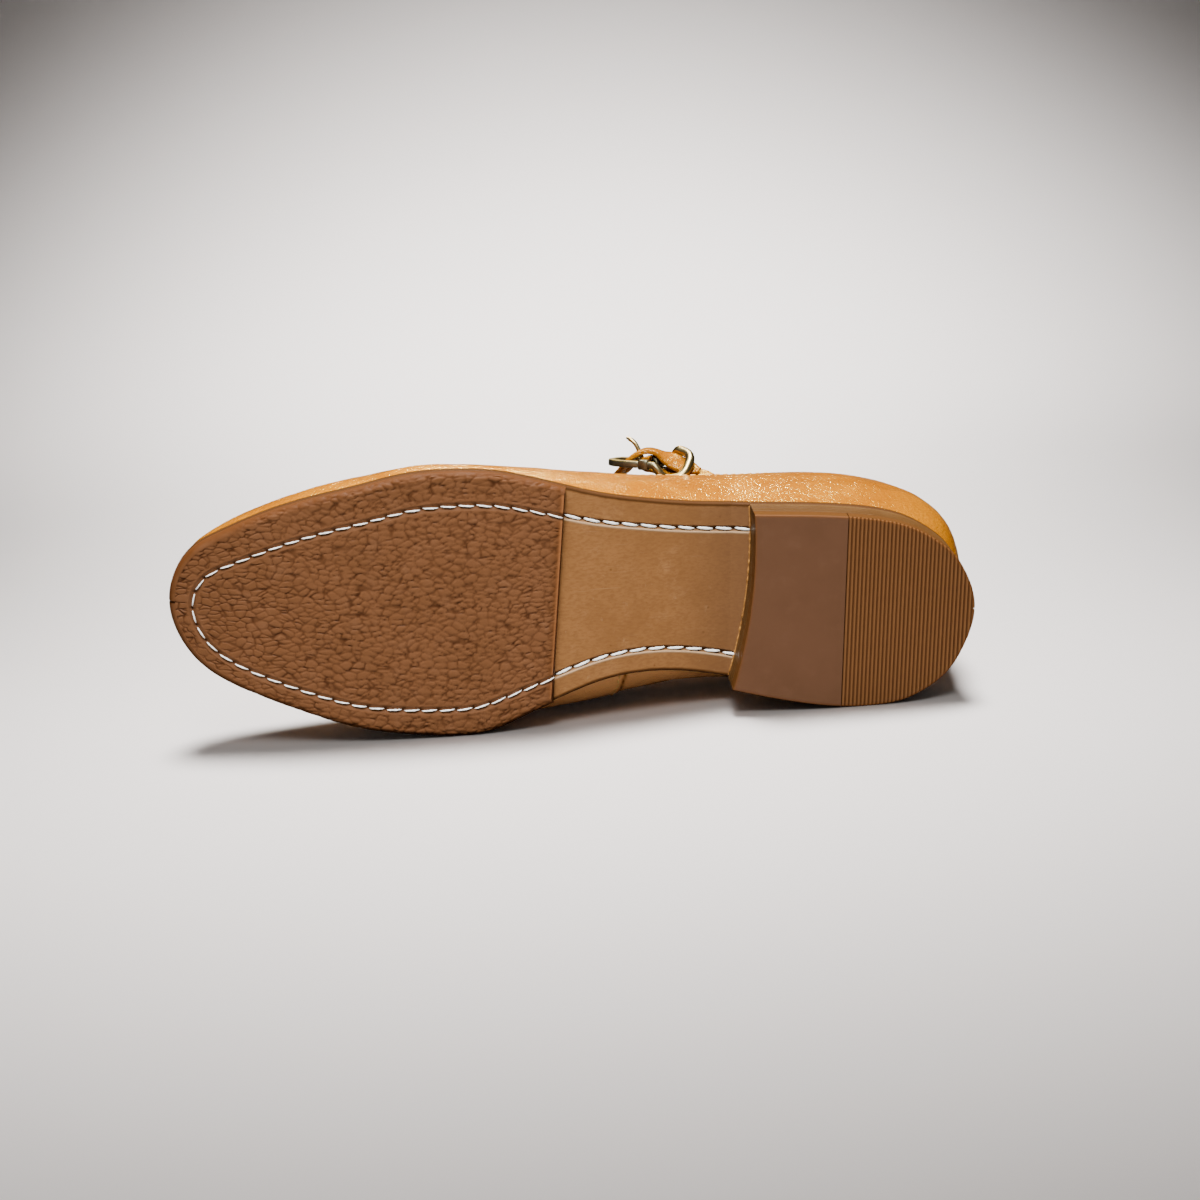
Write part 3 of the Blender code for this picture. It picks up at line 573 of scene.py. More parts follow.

# %% [markdown]
# ## The upper
# A shoemaker pulls the upper over a last, so its skin follows ribs that leave the sole, swell, and turn
# in to the topline. Each rib is one cubic curve, and its sizes run smoothly round the shoe. The skin could
# be sculpted by hand, but a function of angle and rise gives clean rings and leaves room for real folds:
# soft troughs with a ridge on either side, placed one by one where leather bends in wear and in lasting.

# %% Ribs of the upper
Rib = namedtuple("Rib", "side x inset swell lift shoulder drop top_x top_y top_z")
RIBS = [
    Rib(OUTER, 0.000, 0.0008, 0.0036, 0.016, 0.0040, 0.022, 0.0015, 0.0005, 0.0785),
    Rib(OUTER, 0.010, 0.0006, 0.0090, 0.016, 0.0074, 0.020, 0.0120, 0.0190, 0.0755),
    Rib(OUTER, 0.030, 0.0006, 0.0065, 0.015, 0.0065, 0.018, 0.0310, 0.0295, 0.0690),
    Rib(OUTER, 0.060, 0.0006, 0.0055, 0.014, 0.0058, 0.014, 0.0600, 0.0332, 0.0615),
    Rib(OUTER, 0.095, 0.0008, 0.0045, 0.013, 0.0036, 0.012, 0.0970, 0.0343, 0.0550),
    Rib(OUTER, 0.130, 0.0016, 0.0060, 0.013, 0.0066, 0.011, 0.1300, 0.0345, 0.0510),
    Rib(OUTER, 0.160, 0.0038, 0.0050, 0.016, 0.0095, 0.008, 0.1520, 0.0315, 0.0495),
    Rib(OUTER, 0.185, 0.0034, 0.0052, 0.018, 0.0150, 0.005, 0.1670, 0.0262, 0.0486),
    Rib(OUTER, 0.212, 0.0018, 0.0062, 0.018, 0.0230, 0.005, 0.1760, 0.0190, 0.0479),
    Rib(OUTER, 0.240, 0.0008, 0.0055, 0.018, 0.0340, 0.006, 0.1802, 0.0120, 0.0474),
    Rib(OUTER, 0.260, 0.0008, 0.0046, 0.018, 0.0440, 0.007, 0.1816, 0.0060, 0.0471),
    Rib(OUTER, 0.272, 0.0010, 0.0030, 0.019, 0.0500, 0.008, 0.1820, 0.0010, 0.0470),
    Rib(INNER, 0.260, 0.0010, 0.0034, 0.018, 0.0440, 0.007, 0.1818, -0.0040, 0.0471),
    Rib(INNER, 0.240, 0.0012, 0.0042, 0.018, 0.0340, 0.006, 0.1806, -0.0100, 0.0475),
    Rib(INNER, 0.212, 0.0018, 0.0038, 0.018, 0.0230, 0.005, 0.1768, -0.0170, 0.0481),
    Rib(INNER, 0.185, 0.0022, 0.0042, 0.018, 0.0150, 0.005, 0.1682, -0.0240, 0.0490),
    Rib(INNER, 0.160, 0.0010, 0.0085, 0.014, 0.0095, 0.008, 0.1530, -0.0288, 0.0502),
    Rib(INNER, 0.136, 0.0004, 0.0160, 0.010, 0.0090, 0.012, 0.1340, -0.0308, 0.0516),
    Rib(INNER, 0.114, 0.0004, 0.0160, 0.010, 0.0080, 0.014, 0.1140, -0.0315, 0.0534),
    Rib(INNER, 0.090, 0.0004, 0.0095, 0.012, 0.0070, 0.014, 0.0920, -0.0314, 0.0560),
    Rib(INNER, 0.060, 0.0006, 0.0045, 0.014, 0.0055, 0.014, 0.0600, -0.0312, 0.0617),
    Rib(INNER, 0.030, 0.0006, 0.0045, 0.015, 0.0060, 0.018, 0.0310, -0.0285, 0.0690),
    Rib(INNER, 0.010, 0.0008, 0.0070, 0.016, 0.0060, 0.020, 0.0120, -0.0185, 0.0755),
]
rib_turns = [turn_of(rib.x, rib.side) for rib in RIBS]
RIB_SHAPE = smooth_curve(rib_turns, [rib[2:] for rib in RIBS], period=2 * math.pi)


def upper_wall(turns, rises):
    """Points of the upper's outer face: one rib at each angle, from the sole to the topline."""
    shape = RIB_SHAPE(turns)
    inset, swell, lift, shoulder, drop = shape[:, :5].T
    foot, out = edge(turns, inset)
    start = np.column_stack([foot, outsole_top(foot[:, 0]) + GAP])
    out = np.column_stack([out, np.zeros(len(out))])
    top = shape[:, 5:]
    across = (start - top) * (1, 1, 0)
    reach = np.linalg.norm(across, axis=1, keepdims=True)
    fan = reach / (reach + RIB_FAN_REACH)
    towards = unit((1 - fan) * out + fan * across / np.maximum(reach, 1e-6))
    up = np.array([0, 0, 1.0])
    first = start + out * swell[:, None] + up * lift[:, None]
    second = top + towards * shoulder[:, None] - up * drop[:, None]
    r = np.asarray(rises)[None, :, None]
    return (
        (1 - r) ** 3 * start[:, None]
        + 3 * r * (1 - r) ** 2 * first[:, None]
        + 3 * r**2 * (1 - r) * second[:, None]
        + r**3 * top[:, None]
    )


def wall_normals(wall):
    """Outward directions over a grid that closes round the shoe in its first direction."""
    round_shoe = np.roll(wall, -1, axis=0) - np.roll(wall, 1, axis=0)
    return unit(np.cross(np.gradient(wall, axis=1), round_shoe))


WALL_TURNS = even_turns(641)[:-1]
WALL_RISES = np.linspace(0, 1, 92)
wall = upper_wall(WALL_TURNS, WALL_RISES)
wall_out = wall_normals(wall)
print("upper wall:", wall.shape[0], "ribs of", wall.shape[1], "points")

# %% [markdown]
# ### Folds placed one by one
# Each row of the table is one fold: where it starts and ends (side, distance from the heel, rise from sole
# to topline), how far it bows, how deep and how wide it is. Short ones gather at the toe where the leather
# was pulled in, long ones cross the vamp where the foot bends, and slack ones sag in the quarters.

# %% Fold table and relief
Fold = namedtuple("Fold", "side x rise x_end rise_end bow depth width")
FOLDS = [
    Fold(OUTER, 0.262, 0.10, 0.236, 0.30, 0.03, 0.00032, 0.0016),
    Fold(OUTER, 0.266, 0.22, 0.240, 0.44, 0.03, 0.00026, 0.0018),
    Fold(OUTER, 0.246, 0.14, 0.214, 0.26, 0.02, 0.00024, 0.0015),
    Fold(OUTER, 0.226, 0.34, 0.196, 0.42, 0.04, 0.00030, 0.0024),
    Fold(OUTER, 0.206, 0.20, 0.176, 0.34, 0.03, 0.00026, 0.0022),
    Fold(OUTER, 0.196, 0.62, 0.178, 0.88, 0.02, 0.00042, 0.0030),
    Fold(OUTER, 0.212, 0.60, 0.190, 0.90, 0.03, 0.00036, 0.0028),
    Fold(OUTER, 0.128, 0.30, 0.096, 0.52, 0.05, 0.00034, 0.0030),
    Fold(OUTER, 0.118, 0.55, 0.080, 0.62, 0.05, 0.00030, 0.0028),
    Fold(OUTER, 0.074, 0.30, 0.044, 0.44, 0.04, 0.00030, 0.0024),
    Fold(OUTER, 0.060, 0.52, 0.030, 0.58, 0.05, 0.00026, 0.0026),
    Fold(OUTER, 0.030, 0.34, 0.012, 0.48, 0.03, 0.00026, 0.0022),
    Fold(INNER, 0.262, 0.12, 0.238, 0.32, 0.03, 0.00030, 0.0017),
    Fold(INNER, 0.214, 0.60, 0.192, 0.90, 0.03, 0.00038, 0.0029),
    Fold(INNER, 0.196, 0.58, 0.176, 0.86, 0.02, 0.00042, 0.0030),
    Fold(INNER, 0.190, 0.24, 0.160, 0.38, 0.04, 0.00030, 0.0024),
    Fold(INNER, 0.108, 0.30, 0.076, 0.46, 0.05, 0.00034, 0.0030),
    Fold(INNER, 0.064, 0.40, 0.030, 0.52, 0.04, 0.00028, 0.0026),
]
FOLD_POINTS, FOLD_REACH, FOLD_SHADE = 70, 0.035, 0.35
RIDGE_AT, RIDGE_WIDTH, RIDGE_HEIGHT = 1.8, 0.9, 0.5


def fold_line(fold):
    share = np.linspace(0, 1, FOLD_POINTS)
    start, end = turn_of(fold.x, fold.side), turn_of(fold.x_end, fold.side)
    turns = start + (end - start) * share
    rises = fold.rise + (fold.rise_end - fold.rise) * share + fold.bow * np.sin(math.pi * share)
    line = upper_wall(turns, rises)[np.arange(FOLD_POINTS), np.arange(FOLD_POINTS)]
    return line, np.sin(math.pi * share) ** 0.6


wall_relief = np.zeros(wall.shape[:2])
# Painted shade in the troughs of the folds, kept for the fold mark.
wall_fold_shade = np.zeros(wall.shape[:2])
for fold in FOLDS:
    line, strength = fold_line(fold)
    near = (np.abs(wall - line.mean(axis=0)).max(axis=2) < FOLD_REACH).nonzero()
    gaps = np.linalg.norm(wall[near][:, None] - line[None], axis=2)
    gap, held = gaps.min(axis=1), strength[gaps.argmin(axis=1)]
    trough = hump(gap, fold.width) * held
    ridge = hump(gap / fold.width - RIDGE_AT, RIDGE_WIDTH) * held
    wall_relief[near] += fold.depth * (RIDGE_HEIGHT * ridge - trough)
    wall_fold_shade[near] = np.maximum(wall_fold_shade[near], FOLD_SHADE * trough)
print("folds:", len(FOLDS), "deepest", round(float(-wall_relief.min() * 1000), 2), "mm")

# %% [markdown]
# ### Crinkle, seam and skin
# Between the folds the leather is never quite smooth, so two slow noises lift and lower it by tenths of a
# millimetre, and a low swell fills it out at the outer side of the ball. On the inner side the front panel
# laps over the rear one: its cut edge is a real step with a row of stitches behind it, and a painted
# shadow along it. The skin is then closed into a sheet 1.1 mm thick with a rounded topline, and takes the
# marks for painted shade in the folds and along the cut edge, and for painted bounce light low on the inner
# waist.

# %% Build the upper's skin
SKIN = 0.0011
SEAM_X, SEAM_LEAN, SEAM_STEP, SEAM_FADE = 0.1175, 0.006, 0.0006, 0.030
SEAM_SOFT, SEAM_SHADOW = 0.0003, 0.0007
SWELLS = ((0.016, 0.00022), (0.0050, 0.00007))
BALL_SWELL, BALL_X, BALL_RISE, BALL_LONG, BALL_TALL = 0.0007, 0.184, 0.22, 0.030, 0.16
# Where the painted bounce light lies on the inner waist, and how strong it is.
BOUNCE_LIGHT_WAIST, BOUNCE_LIGHT_RISES, BOUNCE_LIGHT_STRENGTH = (0.066, 0.086, 0.150, 0.184), (0.25, 0.6), 0.9


def inside_wall(wall, out, depth):
    """A wall moved inwards by a depth; its foot moves level, so that it stays on the sole."""
    moved = wall - out * depth
    moved[:, 0] = wall[:, 0] - unit(out[:, 0] * (1, 1, 0)) * depth
    return moved


for size, depth in SWELLS:
    field = [noise.noise(Vector(p) / size) for p in wall.reshape(-1, 3).tolist()]
    wall_relief += depth * np.reshape(field, wall_relief.shape)
ball = hump(wall[..., 0] - BALL_X, BALL_LONG) * hump(WALL_RISES[None] - BALL_RISE, BALL_TALL)
wall_relief += BALL_SWELL * ball * (WALL_TURNS < math.pi)[:, None]
seam_x = SEAM_X + SEAM_LEAN * WALL_RISES
ahead = wall[..., 0] - seam_x
inner_side = (WALL_TURNS > math.pi)[:, None]
# Painted shadow along the lapped cut edge, laid into the fold mark below.
lap_shadow = hump(ahead, SEAM_SHADOW) * inner_side
wall_relief += SEAM_STEP * on_stretch(ahead, -SEAM_SOFT, SEAM_SOFT, 0, SEAM_FADE) * inner_side
skin = wall + wall_out * wall_relief[..., None]
rising = unit(skin[:, -1] - skin[:, -3])
roll_centre = skin[:, -1] - wall_out[:, -1] * SKIN / 2
roll_angles = np.linspace(0, math.pi, 9)[1:-1]
roll = [wall_out[:, -1] * math.cos(a) + rising * math.sin(a) for a in roll_angles]
roll = np.stack([roll_centre + turned * SKIN / 2 for turned in roll], axis=1)
sections = np.concatenate([skin, roll, inside_wall(skin, wall_out, SKIN)[:, ::-7]], axis=1)
# Painted bounce light: low on the inner side of the waist the leather is painted paler.
low_down = 1 - soft_step(*BOUNCE_LIGHT_RISES, WALL_RISES)
painted_bounce_light = BOUNCE_LIGHT_STRENGTH * inner_side * on_stretch(wall[..., 0], *BOUNCE_LIGHT_WAIST) * low_down
marks = blank_marks(sections, "fold", "painted_bounce_light")
# The fold mark is painted shade: in the fold troughs and along the cut edge.
marks["fold"][:, : wall.shape[1]] = np.maximum(wall_fold_shade, 0.9 * lap_shadow)
# Painted bounce light, kept off the painted shadow of the cut edge.
marks["painted_bounce_light"][:, : wall.shape[1]] = painted_bounce_light * (1 - lap_shadow)
upper = mesh_object("upper_skin", sections, UPPER_LEATHER, marks, sharp=70, closed=True)
dress(upper, ["upper"])

# %% [markdown]
# ## Lining and sock
# Inside, a paler leather lines the upper and a leather sock covers the insole. Neither shows in the sole
# view, but anyone who turns the shoe looks straight in. The lining is its own thin sheet just inside the
# skin, and ends a little below the topline, as a folded edge hides it in the real shoe.

# %% Lining leather material and lining
def make_lining_leather():
    tones = (0.44, 0.27, 0.13), (0.56, 0.36, 0.18), (0.66, 0.45, 0.25)
    made, tree, shader, place, colour = finish("lining_leather", 0.030, tones, (0.55, 0.72))
    feed(tree, shader, Base_Color=colour)
    add_bump(tree, shader, grained(tree, place, 0.0006, 0.15)["Height"], 0.35, 0.00012)
    return made


LINING_LEATHER = make_lining_leather()
LINING_TOP, LINING_EASE = 0.982, 0.00005
lining_wall = upper_wall(even_turns(361)[:-1], np.linspace(0, LINING_TOP, 44))
lining_out = wall_normals(lining_wall)
lining_face = inside_wall(lining_wall, lining_out, UPPER_WALL)
lining_back = inside_wall(lining_wall, lining_out, SKIN + LINING_EASE)
sections = np.concatenate([lining_face, lining_back[:, ::-6]], axis=1)
lining = mesh_object("lining", sections, LINING_LEATHER, closed=True)
dress(lining)

# %% [markdown]
# ## Layers of the sole
# Outsole, half sole, insole, lifts and heel tips are all layers: an outline in plan, a lower and an upper
# face. Each is a stack of rings that run across the shoe. A ring goes down the outer side, round the lower
# corner, across the bottom, up the inner side and back over the top. The side's profile is a short list of
# insets and heights, which can hold a rounded corner or the grooves of a leather stack.

# %% Rings of a layer
END_TURN = math.radians(0.4)


def rounded_rim(thick, low_radius, high_radius, low_steps=5, high_steps=5):
    """Side profile of a layer from its top to its bottom: insets, and heights above the bottom."""
    high_turn = np.linspace(0, math.pi / 2, high_steps)
    low_turn = np.linspace(0, math.pi / 2, low_steps)
    top = [(high_radius * (1 - math.sin(a)), thick - high_radius * (1 - math.cos(a))) for a in high_turn]
    low = [(low_radius * (1 - math.cos(a)), low_radius * (1 - math.sin(a))) for a in low_turn]
    return np.array(top + low)


LID_SHARES = (0.2, 0.4, 0.6, 0.8)


def layer_rings(outer_turns, inner_turns, low, rim, across, bow=0.0, lid_shares=LID_SHARES):
    """Points of a layer's rings; across and lid_shares are shares of the way over its two faces."""
    sides = []
    for turns in (outer_turns, inner_turns):
        side = []
        for inset, height in rim:
            plan, _ = edge(turns, np.full(len(turns), inset))
            side.append(np.column_stack([plan, low(plan[:, 0]) + height]))
        sides.append(np.stack(side, axis=1))
    outer, inner = sides
    bows = np.broadcast_to(bow, len(outer_turns))[:, None]

    def face(first, second, shares, height):
        share = np.asarray(shares)[None, :, None]
        points = first * (1 - share) + second * share
        points[..., 0] -= bows * 4 * share[..., 0] * (1 - share[..., 0])
        points[..., 2] = low(points[..., 0]) + height
        return points

    bottom = face(outer[:, -1:], inner[:, -1:], across, 0.0)
    top = face(inner[:, :1], outer[:, :1], lid_shares, rim[0][1])
    return np.concatenate([outer, bottom, inner[:, ::-1], top], axis=1)


def bottom_of(rim, across):
    """Columns of a layer's rings that lie on its bottom face."""
    return slice(len(rim), len(rim) + len(across))


def mark_sides(mark, bottom, values):
    """Sets a mark on both sides of a layer, one value for each point of the rim from top to bottom."""
    mark[:, : bottom.start] = values
    mark[:, bottom.stop : bottom.stop + bottom.start] = np.asarray(values)[::-1]


def bowed_faces(rows, rim_count, across_count):
    """Faces of a layer whose ends are bowed: each end is laid in strips between its two faces."""
    columns = 2 * (rim_count + across_count)
    faces = grid_faces(rows, columns, cap=False)
    for start in (0, (rows - 1) * columns):
        low = [start + rim_count + k for k in range(across_count)]
        high = [start + columns - 1 - k for k in range(across_count)]
        far = start + rim_count + across_count
        faces += [[low[k], low[k + 1], high[k + 1], high[k]] for k in range(across_count - 1)]
        faces.append([start + k for k in range(rim_count)] + [low[0], high[0]])
        faces.append([low[-1]] + [far + k for k in range(rim_count)] + [high[-1]])
    return faces


def edge_closeness(points, reach):
    """1 on the sole's outline, falling to 0 at the reach inside it."""
    distance, _ = nearest_on(outline, points[..., :2])
    return np.clip(1 - distance / reach, 0, 1)


print("rings can be made")

# %% Sock over the insole
SOCK_STEPS, RIM_FALL, RIM_SHARE = 90, 0.0006, 0.04
Dish = namedtuple("Dish", "x y reach depth")
DISHES = [Dish(0.040, 0.0, 0.018, 0.0007), Dish(0.180, 0.002, 0.024, 0.0006)]
sock_inset = UPPER_WALL + INSOLE_CLEARANCE
sock_turns = even_turns(300, END_TURN, math.pi - END_TURN)
sock_sides = []
for turns in (sock_turns, 2 * math.pi - sock_turns):
    plan, _ = edge(turns, RIB_SHAPE(turns)[:, 0] + sock_inset)
    sock_sides.append(plan)
share = np.linspace(0, 1, SOCK_STEPS)[None, :, None]
sock_plan = sock_sides[0][:, None] * (1 - share) + sock_sides[1][:, None] * share
sock_base = outsole_top(sock_plan[..., 0]) + GAP
from_side = np.minimum(share, 1 - share)[..., 0]
sock_height = sock_base + INSOLE_THICK - RIM_FALL * (1 - soft_step(0.0, RIM_SHARE, from_side))
for dish in DISHES:
    offset = (sock_plan - (dish.x, dish.y)) / dish.reach
    sock_height = sock_height - dish.depth * np.exp(-(offset**2).sum(axis=2))
sock_under = np.dstack([sock_plan, sock_base])[:, ::-8]
sections = np.concatenate([np.dstack([sock_plan, sock_height]), sock_under], axis=1)
sock = mesh_object("sock", sections, LINING_LEATHER)
dress(sock, ["insole"])

# %% [markdown]
# ## The stitch line
# Half sole and outsole are held by one row of lockstitch, set in from the edge by 7 to 12 mm. The row is a
# line in plan: an inset from the sole's edge that changes a little on its way round. Both layers need it
# for their channel, and the thread follows it, so it is worked out once. The stitches are longer on the
# bare leather, and each stretch holds a whole number of them, so none crosses the half sole's rear edge.

# %% Stitch line in plan
StitchInset = namedtuple("StitchInset", "side x inset")
STITCH_INSETS = [
    StitchInset(OUTER, 0.060, 0.0092),
    StitchInset(OUTER, 0.110, 0.0090),
    StitchInset(OUTER, 0.140, 0.0099),
    StitchInset(OUTER, 0.172, 0.0113),
    StitchInset(OUTER, 0.205, 0.0118),
    StitchInset(OUTER, 0.232, 0.0119),
    StitchInset(OUTER, 0.258, 0.0109),
    StitchInset(OUTER, 0.272, 0.0081),
    StitchInset(INNER, 0.258, 0.0074),
    StitchInset(INNER, 0.228, 0.0075),
    StitchInset(INNER, 0.195, 0.0088),
    StitchInset(INNER, 0.162, 0.0096),
    StitchInset(INNER, 0.145, 0.0086),
    StitchInset(INNER, 0.120, 0.0082),
    StitchInset(INNER, 0.070, 0.0084),
]
STITCH_START, STITCH_END = 0.0745, 0.0795
RUBBER_PITCH, WAIST_PITCH = 0.0059, 0.0067
STITCH_GAP, STITCH_WIDE, STITCH_TALL, HOLE_REACH = 0.13, 0.00115, 0.0008, 0.00055
stitch_turns = [turn_of(row.x, row.side) for row in STITCH_INSETS]
stitch_inset = smooth_curve(stitch_turns, [row.inset for row in STITCH_INSETS])
fine_turns = np.linspace(turn_of(STITCH_START), turn_of(STITCH_END, INNER), 6000)
stitch_line, _ = edge(fine_turns, stitch_inset(fine_turns))
stitch_run = run_along(stitch_line)


def past_rear_edge(plan):
    """How far in front of the half sole's straight rear edge a place lies."""
    outer, _ = edge(turn_of(HALF_SOLE_OUTER))
    inner, _ = edge(turn_of(HALF_SOLE_INNER, INNER))
    rear_x = outer[0] + (inner[0] - outer[0]) * (plan[..., 1] - outer[1]) / (inner[1] - outer[1])
    return plan[..., 0] - rear_x


on_rubber = past_rear_edge(stitch_line) > 0
knots = [0, *(np.flatnonzero(np.diff(on_rubber)) + 1), len(stitch_run) - 1]
pitches = [RUBBER_PITCH if on_rubber[knot] else WAIST_PITCH for knot in knots[:-1]]
counts = np.round(np.diff(stitch_run[knots]) / pitches)
stitch_count = np.interp(stitch_run, stitch_run[knots], np.concatenate([[0], np.cumsum(counts)]))
STITCHES = int(stitch_count[-1])


def on_stitch_line(counts):
    """Places on the stitch line, counted in stitches from its start."""
    return between(counts, stitch_count, stitch_line)


holes = on_stitch_line(np.arange(STITCHES + 1))


def stitch_marks(points):
    """Signed distance to the stitch line, positive on its inner-side lip, and closeness to a hole."""
    coarse = stitch_line[::4]
    distance, number = nearest_on(coarse, points)
    side = np.sign(coarse[number][..., 1] - points[..., 1])
    return distance * side, hump(nearest_on(holes, points)[0], HOLE_REACH)


print("stitches:", STITCHES, "on a line of", round(float(stitch_run[-1]), 3), "m")

# %% [markdown]
# ## Sole leather and outsole
# Between heel and half sole the leather outsole lies bare: tan, smooth, a little stained, with a cut
# channel for the thread. The knife leaves a lip along one side of the channel, painted paler as a painted
# highlight. The channel is a real groove in the mesh, with a pit at every needle hole. Marks carry to the
# shader the lip's painted highlight, painted shade in the pits and the channel, the dark edge, and painted
# shade that darkens the leather towards the heel.

# %% Sole leather material
def make_sole_leather():
    tones = (0.184, 0.081, 0.026), (0.218, 0.098, 0.033), (0.248, 0.116, 0.043)
    made, tree, shader, place, colour = finish(
        "sole_leather", 0.024, tones, (0.46, 0.66), Specular_IOR_Level=0.06
    )
    slant = {"Vector": place, "Rotation": (0, 0, 0.8), "Scale": (520.0, 1300.0, 900.0)}
    fibres = noise_value(tree, shader_node(tree, "Mapping", slant).outputs["Vector"], 1.0, 5.0, 0.65)
    wear = add_group(tree, WEAR_MARKS, {"Place": place, "Spacing": 0.0085})
    scratches = calculate(tree, "MULTIPLY", wear["Scratches"], 0.10)
    specks = calculate(tree, "MULTIPLY", wear["Specks"], 0.5)
    colour = tinted(tree, remap(tree, fibres, 0.40, 0.64, 0.0, 0.6), colour, (0.146, 0.063, 0.022))
    colour = tinted(tree, scratches, colour, (0.50, 0.30, 0.15))
    colour = tinted(tree, specks, colour, (0.080, 0.032, 0.010))
    # Painted shade: the leather is darker towards the heel.
    colour = marked(tree, "painted_heel_shade", colour, (0.112, 0.053, 0.023))
    # Painted highlight: the lip beside the channel is painted paler.
    colour = marked(tree, "lip", colour, (0.50, 0.33, 0.19))
    # Painted shade in the needle holes and along the channel.
    colour = marked(tree, "pit", colour, (0.030, 0.012, 0.005))
    colour = edge_toned(tree, place, colour, (0.052, 0.020, 0.005), 0.4)
    feed(tree, shader, Base_Color=colour)
    scored = calculate(tree, "SUBTRACT", fibres, calculate(tree, "MULTIPLY", wear["Scratches"], 0.5))
    add_bump(tree, shader, scored, 0.30, 0.00010)
    return made


SOLE_LEATHER = make_sole_leather()
print("made", SOLE_LEATHER.name)

# %% Build the outsole
CHANNEL_DEPTH, CHANNEL_HALF, PIT_DEPTH = 0.0006, 0.0008, 0.0006
LIP_AT, LIP_WIDTH, LIP_HEIGHT = 0.00125, 0.00038, 0.00015
FINE_START, FINE_END = 0.070, 0.150
BARE_WAIST = (0.060, 0.066, 0.150, 0.156)
# Where the painted shade near the heel fades out.
HEEL_SHADE_FADE = (0.076, 0.108)
DARK_EDGE = 0.0022
heel_part = np.linspace(END_TURN, turn_of(FINE_START), 46)
waist_part = turn_of(np.linspace(FINE_START, FINE_END, 190))[1:]
fore_part = np.linspace(turn_of(FINE_END), math.pi - END_TURN, 70)[1:]
outsole_turns = np.concatenate([heel_part, waist_part, fore_part])
zones = ((0, 0.05, 5), (0.05, 0.25, 72), (0.25, 0.75, 44), (0.75, 0.95, 72), (0.95, 1, 5))
across = np.unique(np.concatenate([np.linspace(*zone) for zone in zones]))[1:-1]
rim = rounded_rim(OUTSOLE_THICK, 0.0007, 0.0004)
rings = layer_rings(outsole_turns, 2 * math.pi - outsole_turns, underside, rim, across)
bottom = bottom_of(rim, across)
bottom_x = rings[:, bottom, 0]
gap, pit = stitch_marks(rings[:, bottom, :2])
in_waist = on_stretch(bottom_x, *BARE_WAIST)
groove = (1 - soft_step(0.6 * CHANNEL_HALF, 1.4 * CHANNEL_HALF, np.abs(gap))) * in_waist
lip = hump(gap - LIP_AT, LIP_WIDTH) * in_waist
rings[:, bottom, 2] += CHANNEL_DEPTH * groove + PIT_DEPTH * pit * groove - LIP_HEIGHT * lip
marks = blank_marks(rings, "lip", "pit", "side", "painted_heel_shade")
# Painted shade, strongest at the heel and gone in the waist.
marks["painted_heel_shade"][:, bottom] = 0.75 * (1 - soft_step(*HEEL_SHADE_FADE, bottom_x))
# Painted highlight along the lip.
marks["lip"][:, bottom] = 0.8 * lip
# Painted shade: full in the needle holes, lighter along the channel.
marks["pit"][:, bottom] = np.maximum(pit, 0.45 * groove) * in_waist
marks["side"][:, bottom] = 0.75 * edge_closeness(rings[:, bottom], DARK_EDGE)
mark_sides(marks["side"], bottom, np.ones(len(rim)))
outsole = mesh_object("outsole_leather", rings, SOLE_LEATHER, marks)
dress(outsole, ["outsole"])

# %% [markdown]
# ## Crepe rubber and the half sole
# The half sole is crepe-patterned rubber: pillowy pebbles, longer along the shoe than across it, parted by
# narrow creases. It is smooth in a band along the thread and at the rear edge, whose crest gets a painted
# highlight. The pebbles roll on over the rounded edge and fade there, and sooner at the toe. A cell pattern
# gives them. It could be a bump only, but pebbles of 3 mm show at any angle, so the mesh itself is pressed
# in along the creases, and a mark takes the depth to the shader, which paints shade into them. The rim is
# painted darker, a painted shade that tempers the stronger light on the rounded edge, and the thread's
# holes and channel get painted shade.

# %% Crepe rubber material
def make_crepe_rubber():
    tones = (0.112, 0.046, 0.018), (0.124, 0.051, 0.0205), (0.136, 0.059, 0.026)
    made, tree, shader, place, colour = finish(
        "crepe_rubber", 0.018, tones, (0.48, 0.68), Specular_IOR_Level=0.06
    )
    # Painted shade in the creases between the pebbles.
    colour = marked(tree, "crease", colour, (0.034, 0.010, 0.0025))
    # Painted shade: the rim is darker, tempering the stronger light that falls on its rounded edge.
    colour = edge_toned(tree, place, colour, (0.072, 0.024, 0.006), 0.5)
    # Painted highlight on the crest of the rear edge.
    colour = marked(tree, "crest_highlight", colour, (0.24, 0.092, 0.032))
    # Painted shade in the stitch holes and the thread's channel.
    colour = marked(tree, "pit", colour, (0.022, 0.008, 0.003))
    feed(tree, shader, Base_Color=colour)
    add_bump(tree, shader, grained(tree, place, 0.0007, 0.2)["Height"], 0.22, 0.00010)
    return made


CREPE_RUBBER = make_crepe_rubber()
print("made", CREPE_RUBBER.name)

# %% Pebbles
PEBBLE_LONG, PEBBLE_WIDE = 0.0036, 0.0019
PEBBLE_DEPTH = 0.00042
DOME_HEIGHT, DOME_REACH, CREASE_REACH = 0.17, 0.70, 0.15
WANDER, WANDER_SIZE, RIPPLE, RIPPLE_SIZE = 0.0015, 0.010, 0.0005, 0.0026
PATCH_SIZE, SOFTENING = 0.0042, 0.08
WANDER_SEED = 4
noise.seed_set(WANDER_SEED)


def softened(grid):
    """A grid of values, each averaged a little with its neighbours."""
    for axis in (0, 1):
        beside = np.roll(grid, 1, axis) + np.roll(grid, -1, axis)
        grid = (1 - 2 * SOFTENING) * grid + SOFTENING * beside
    return grid


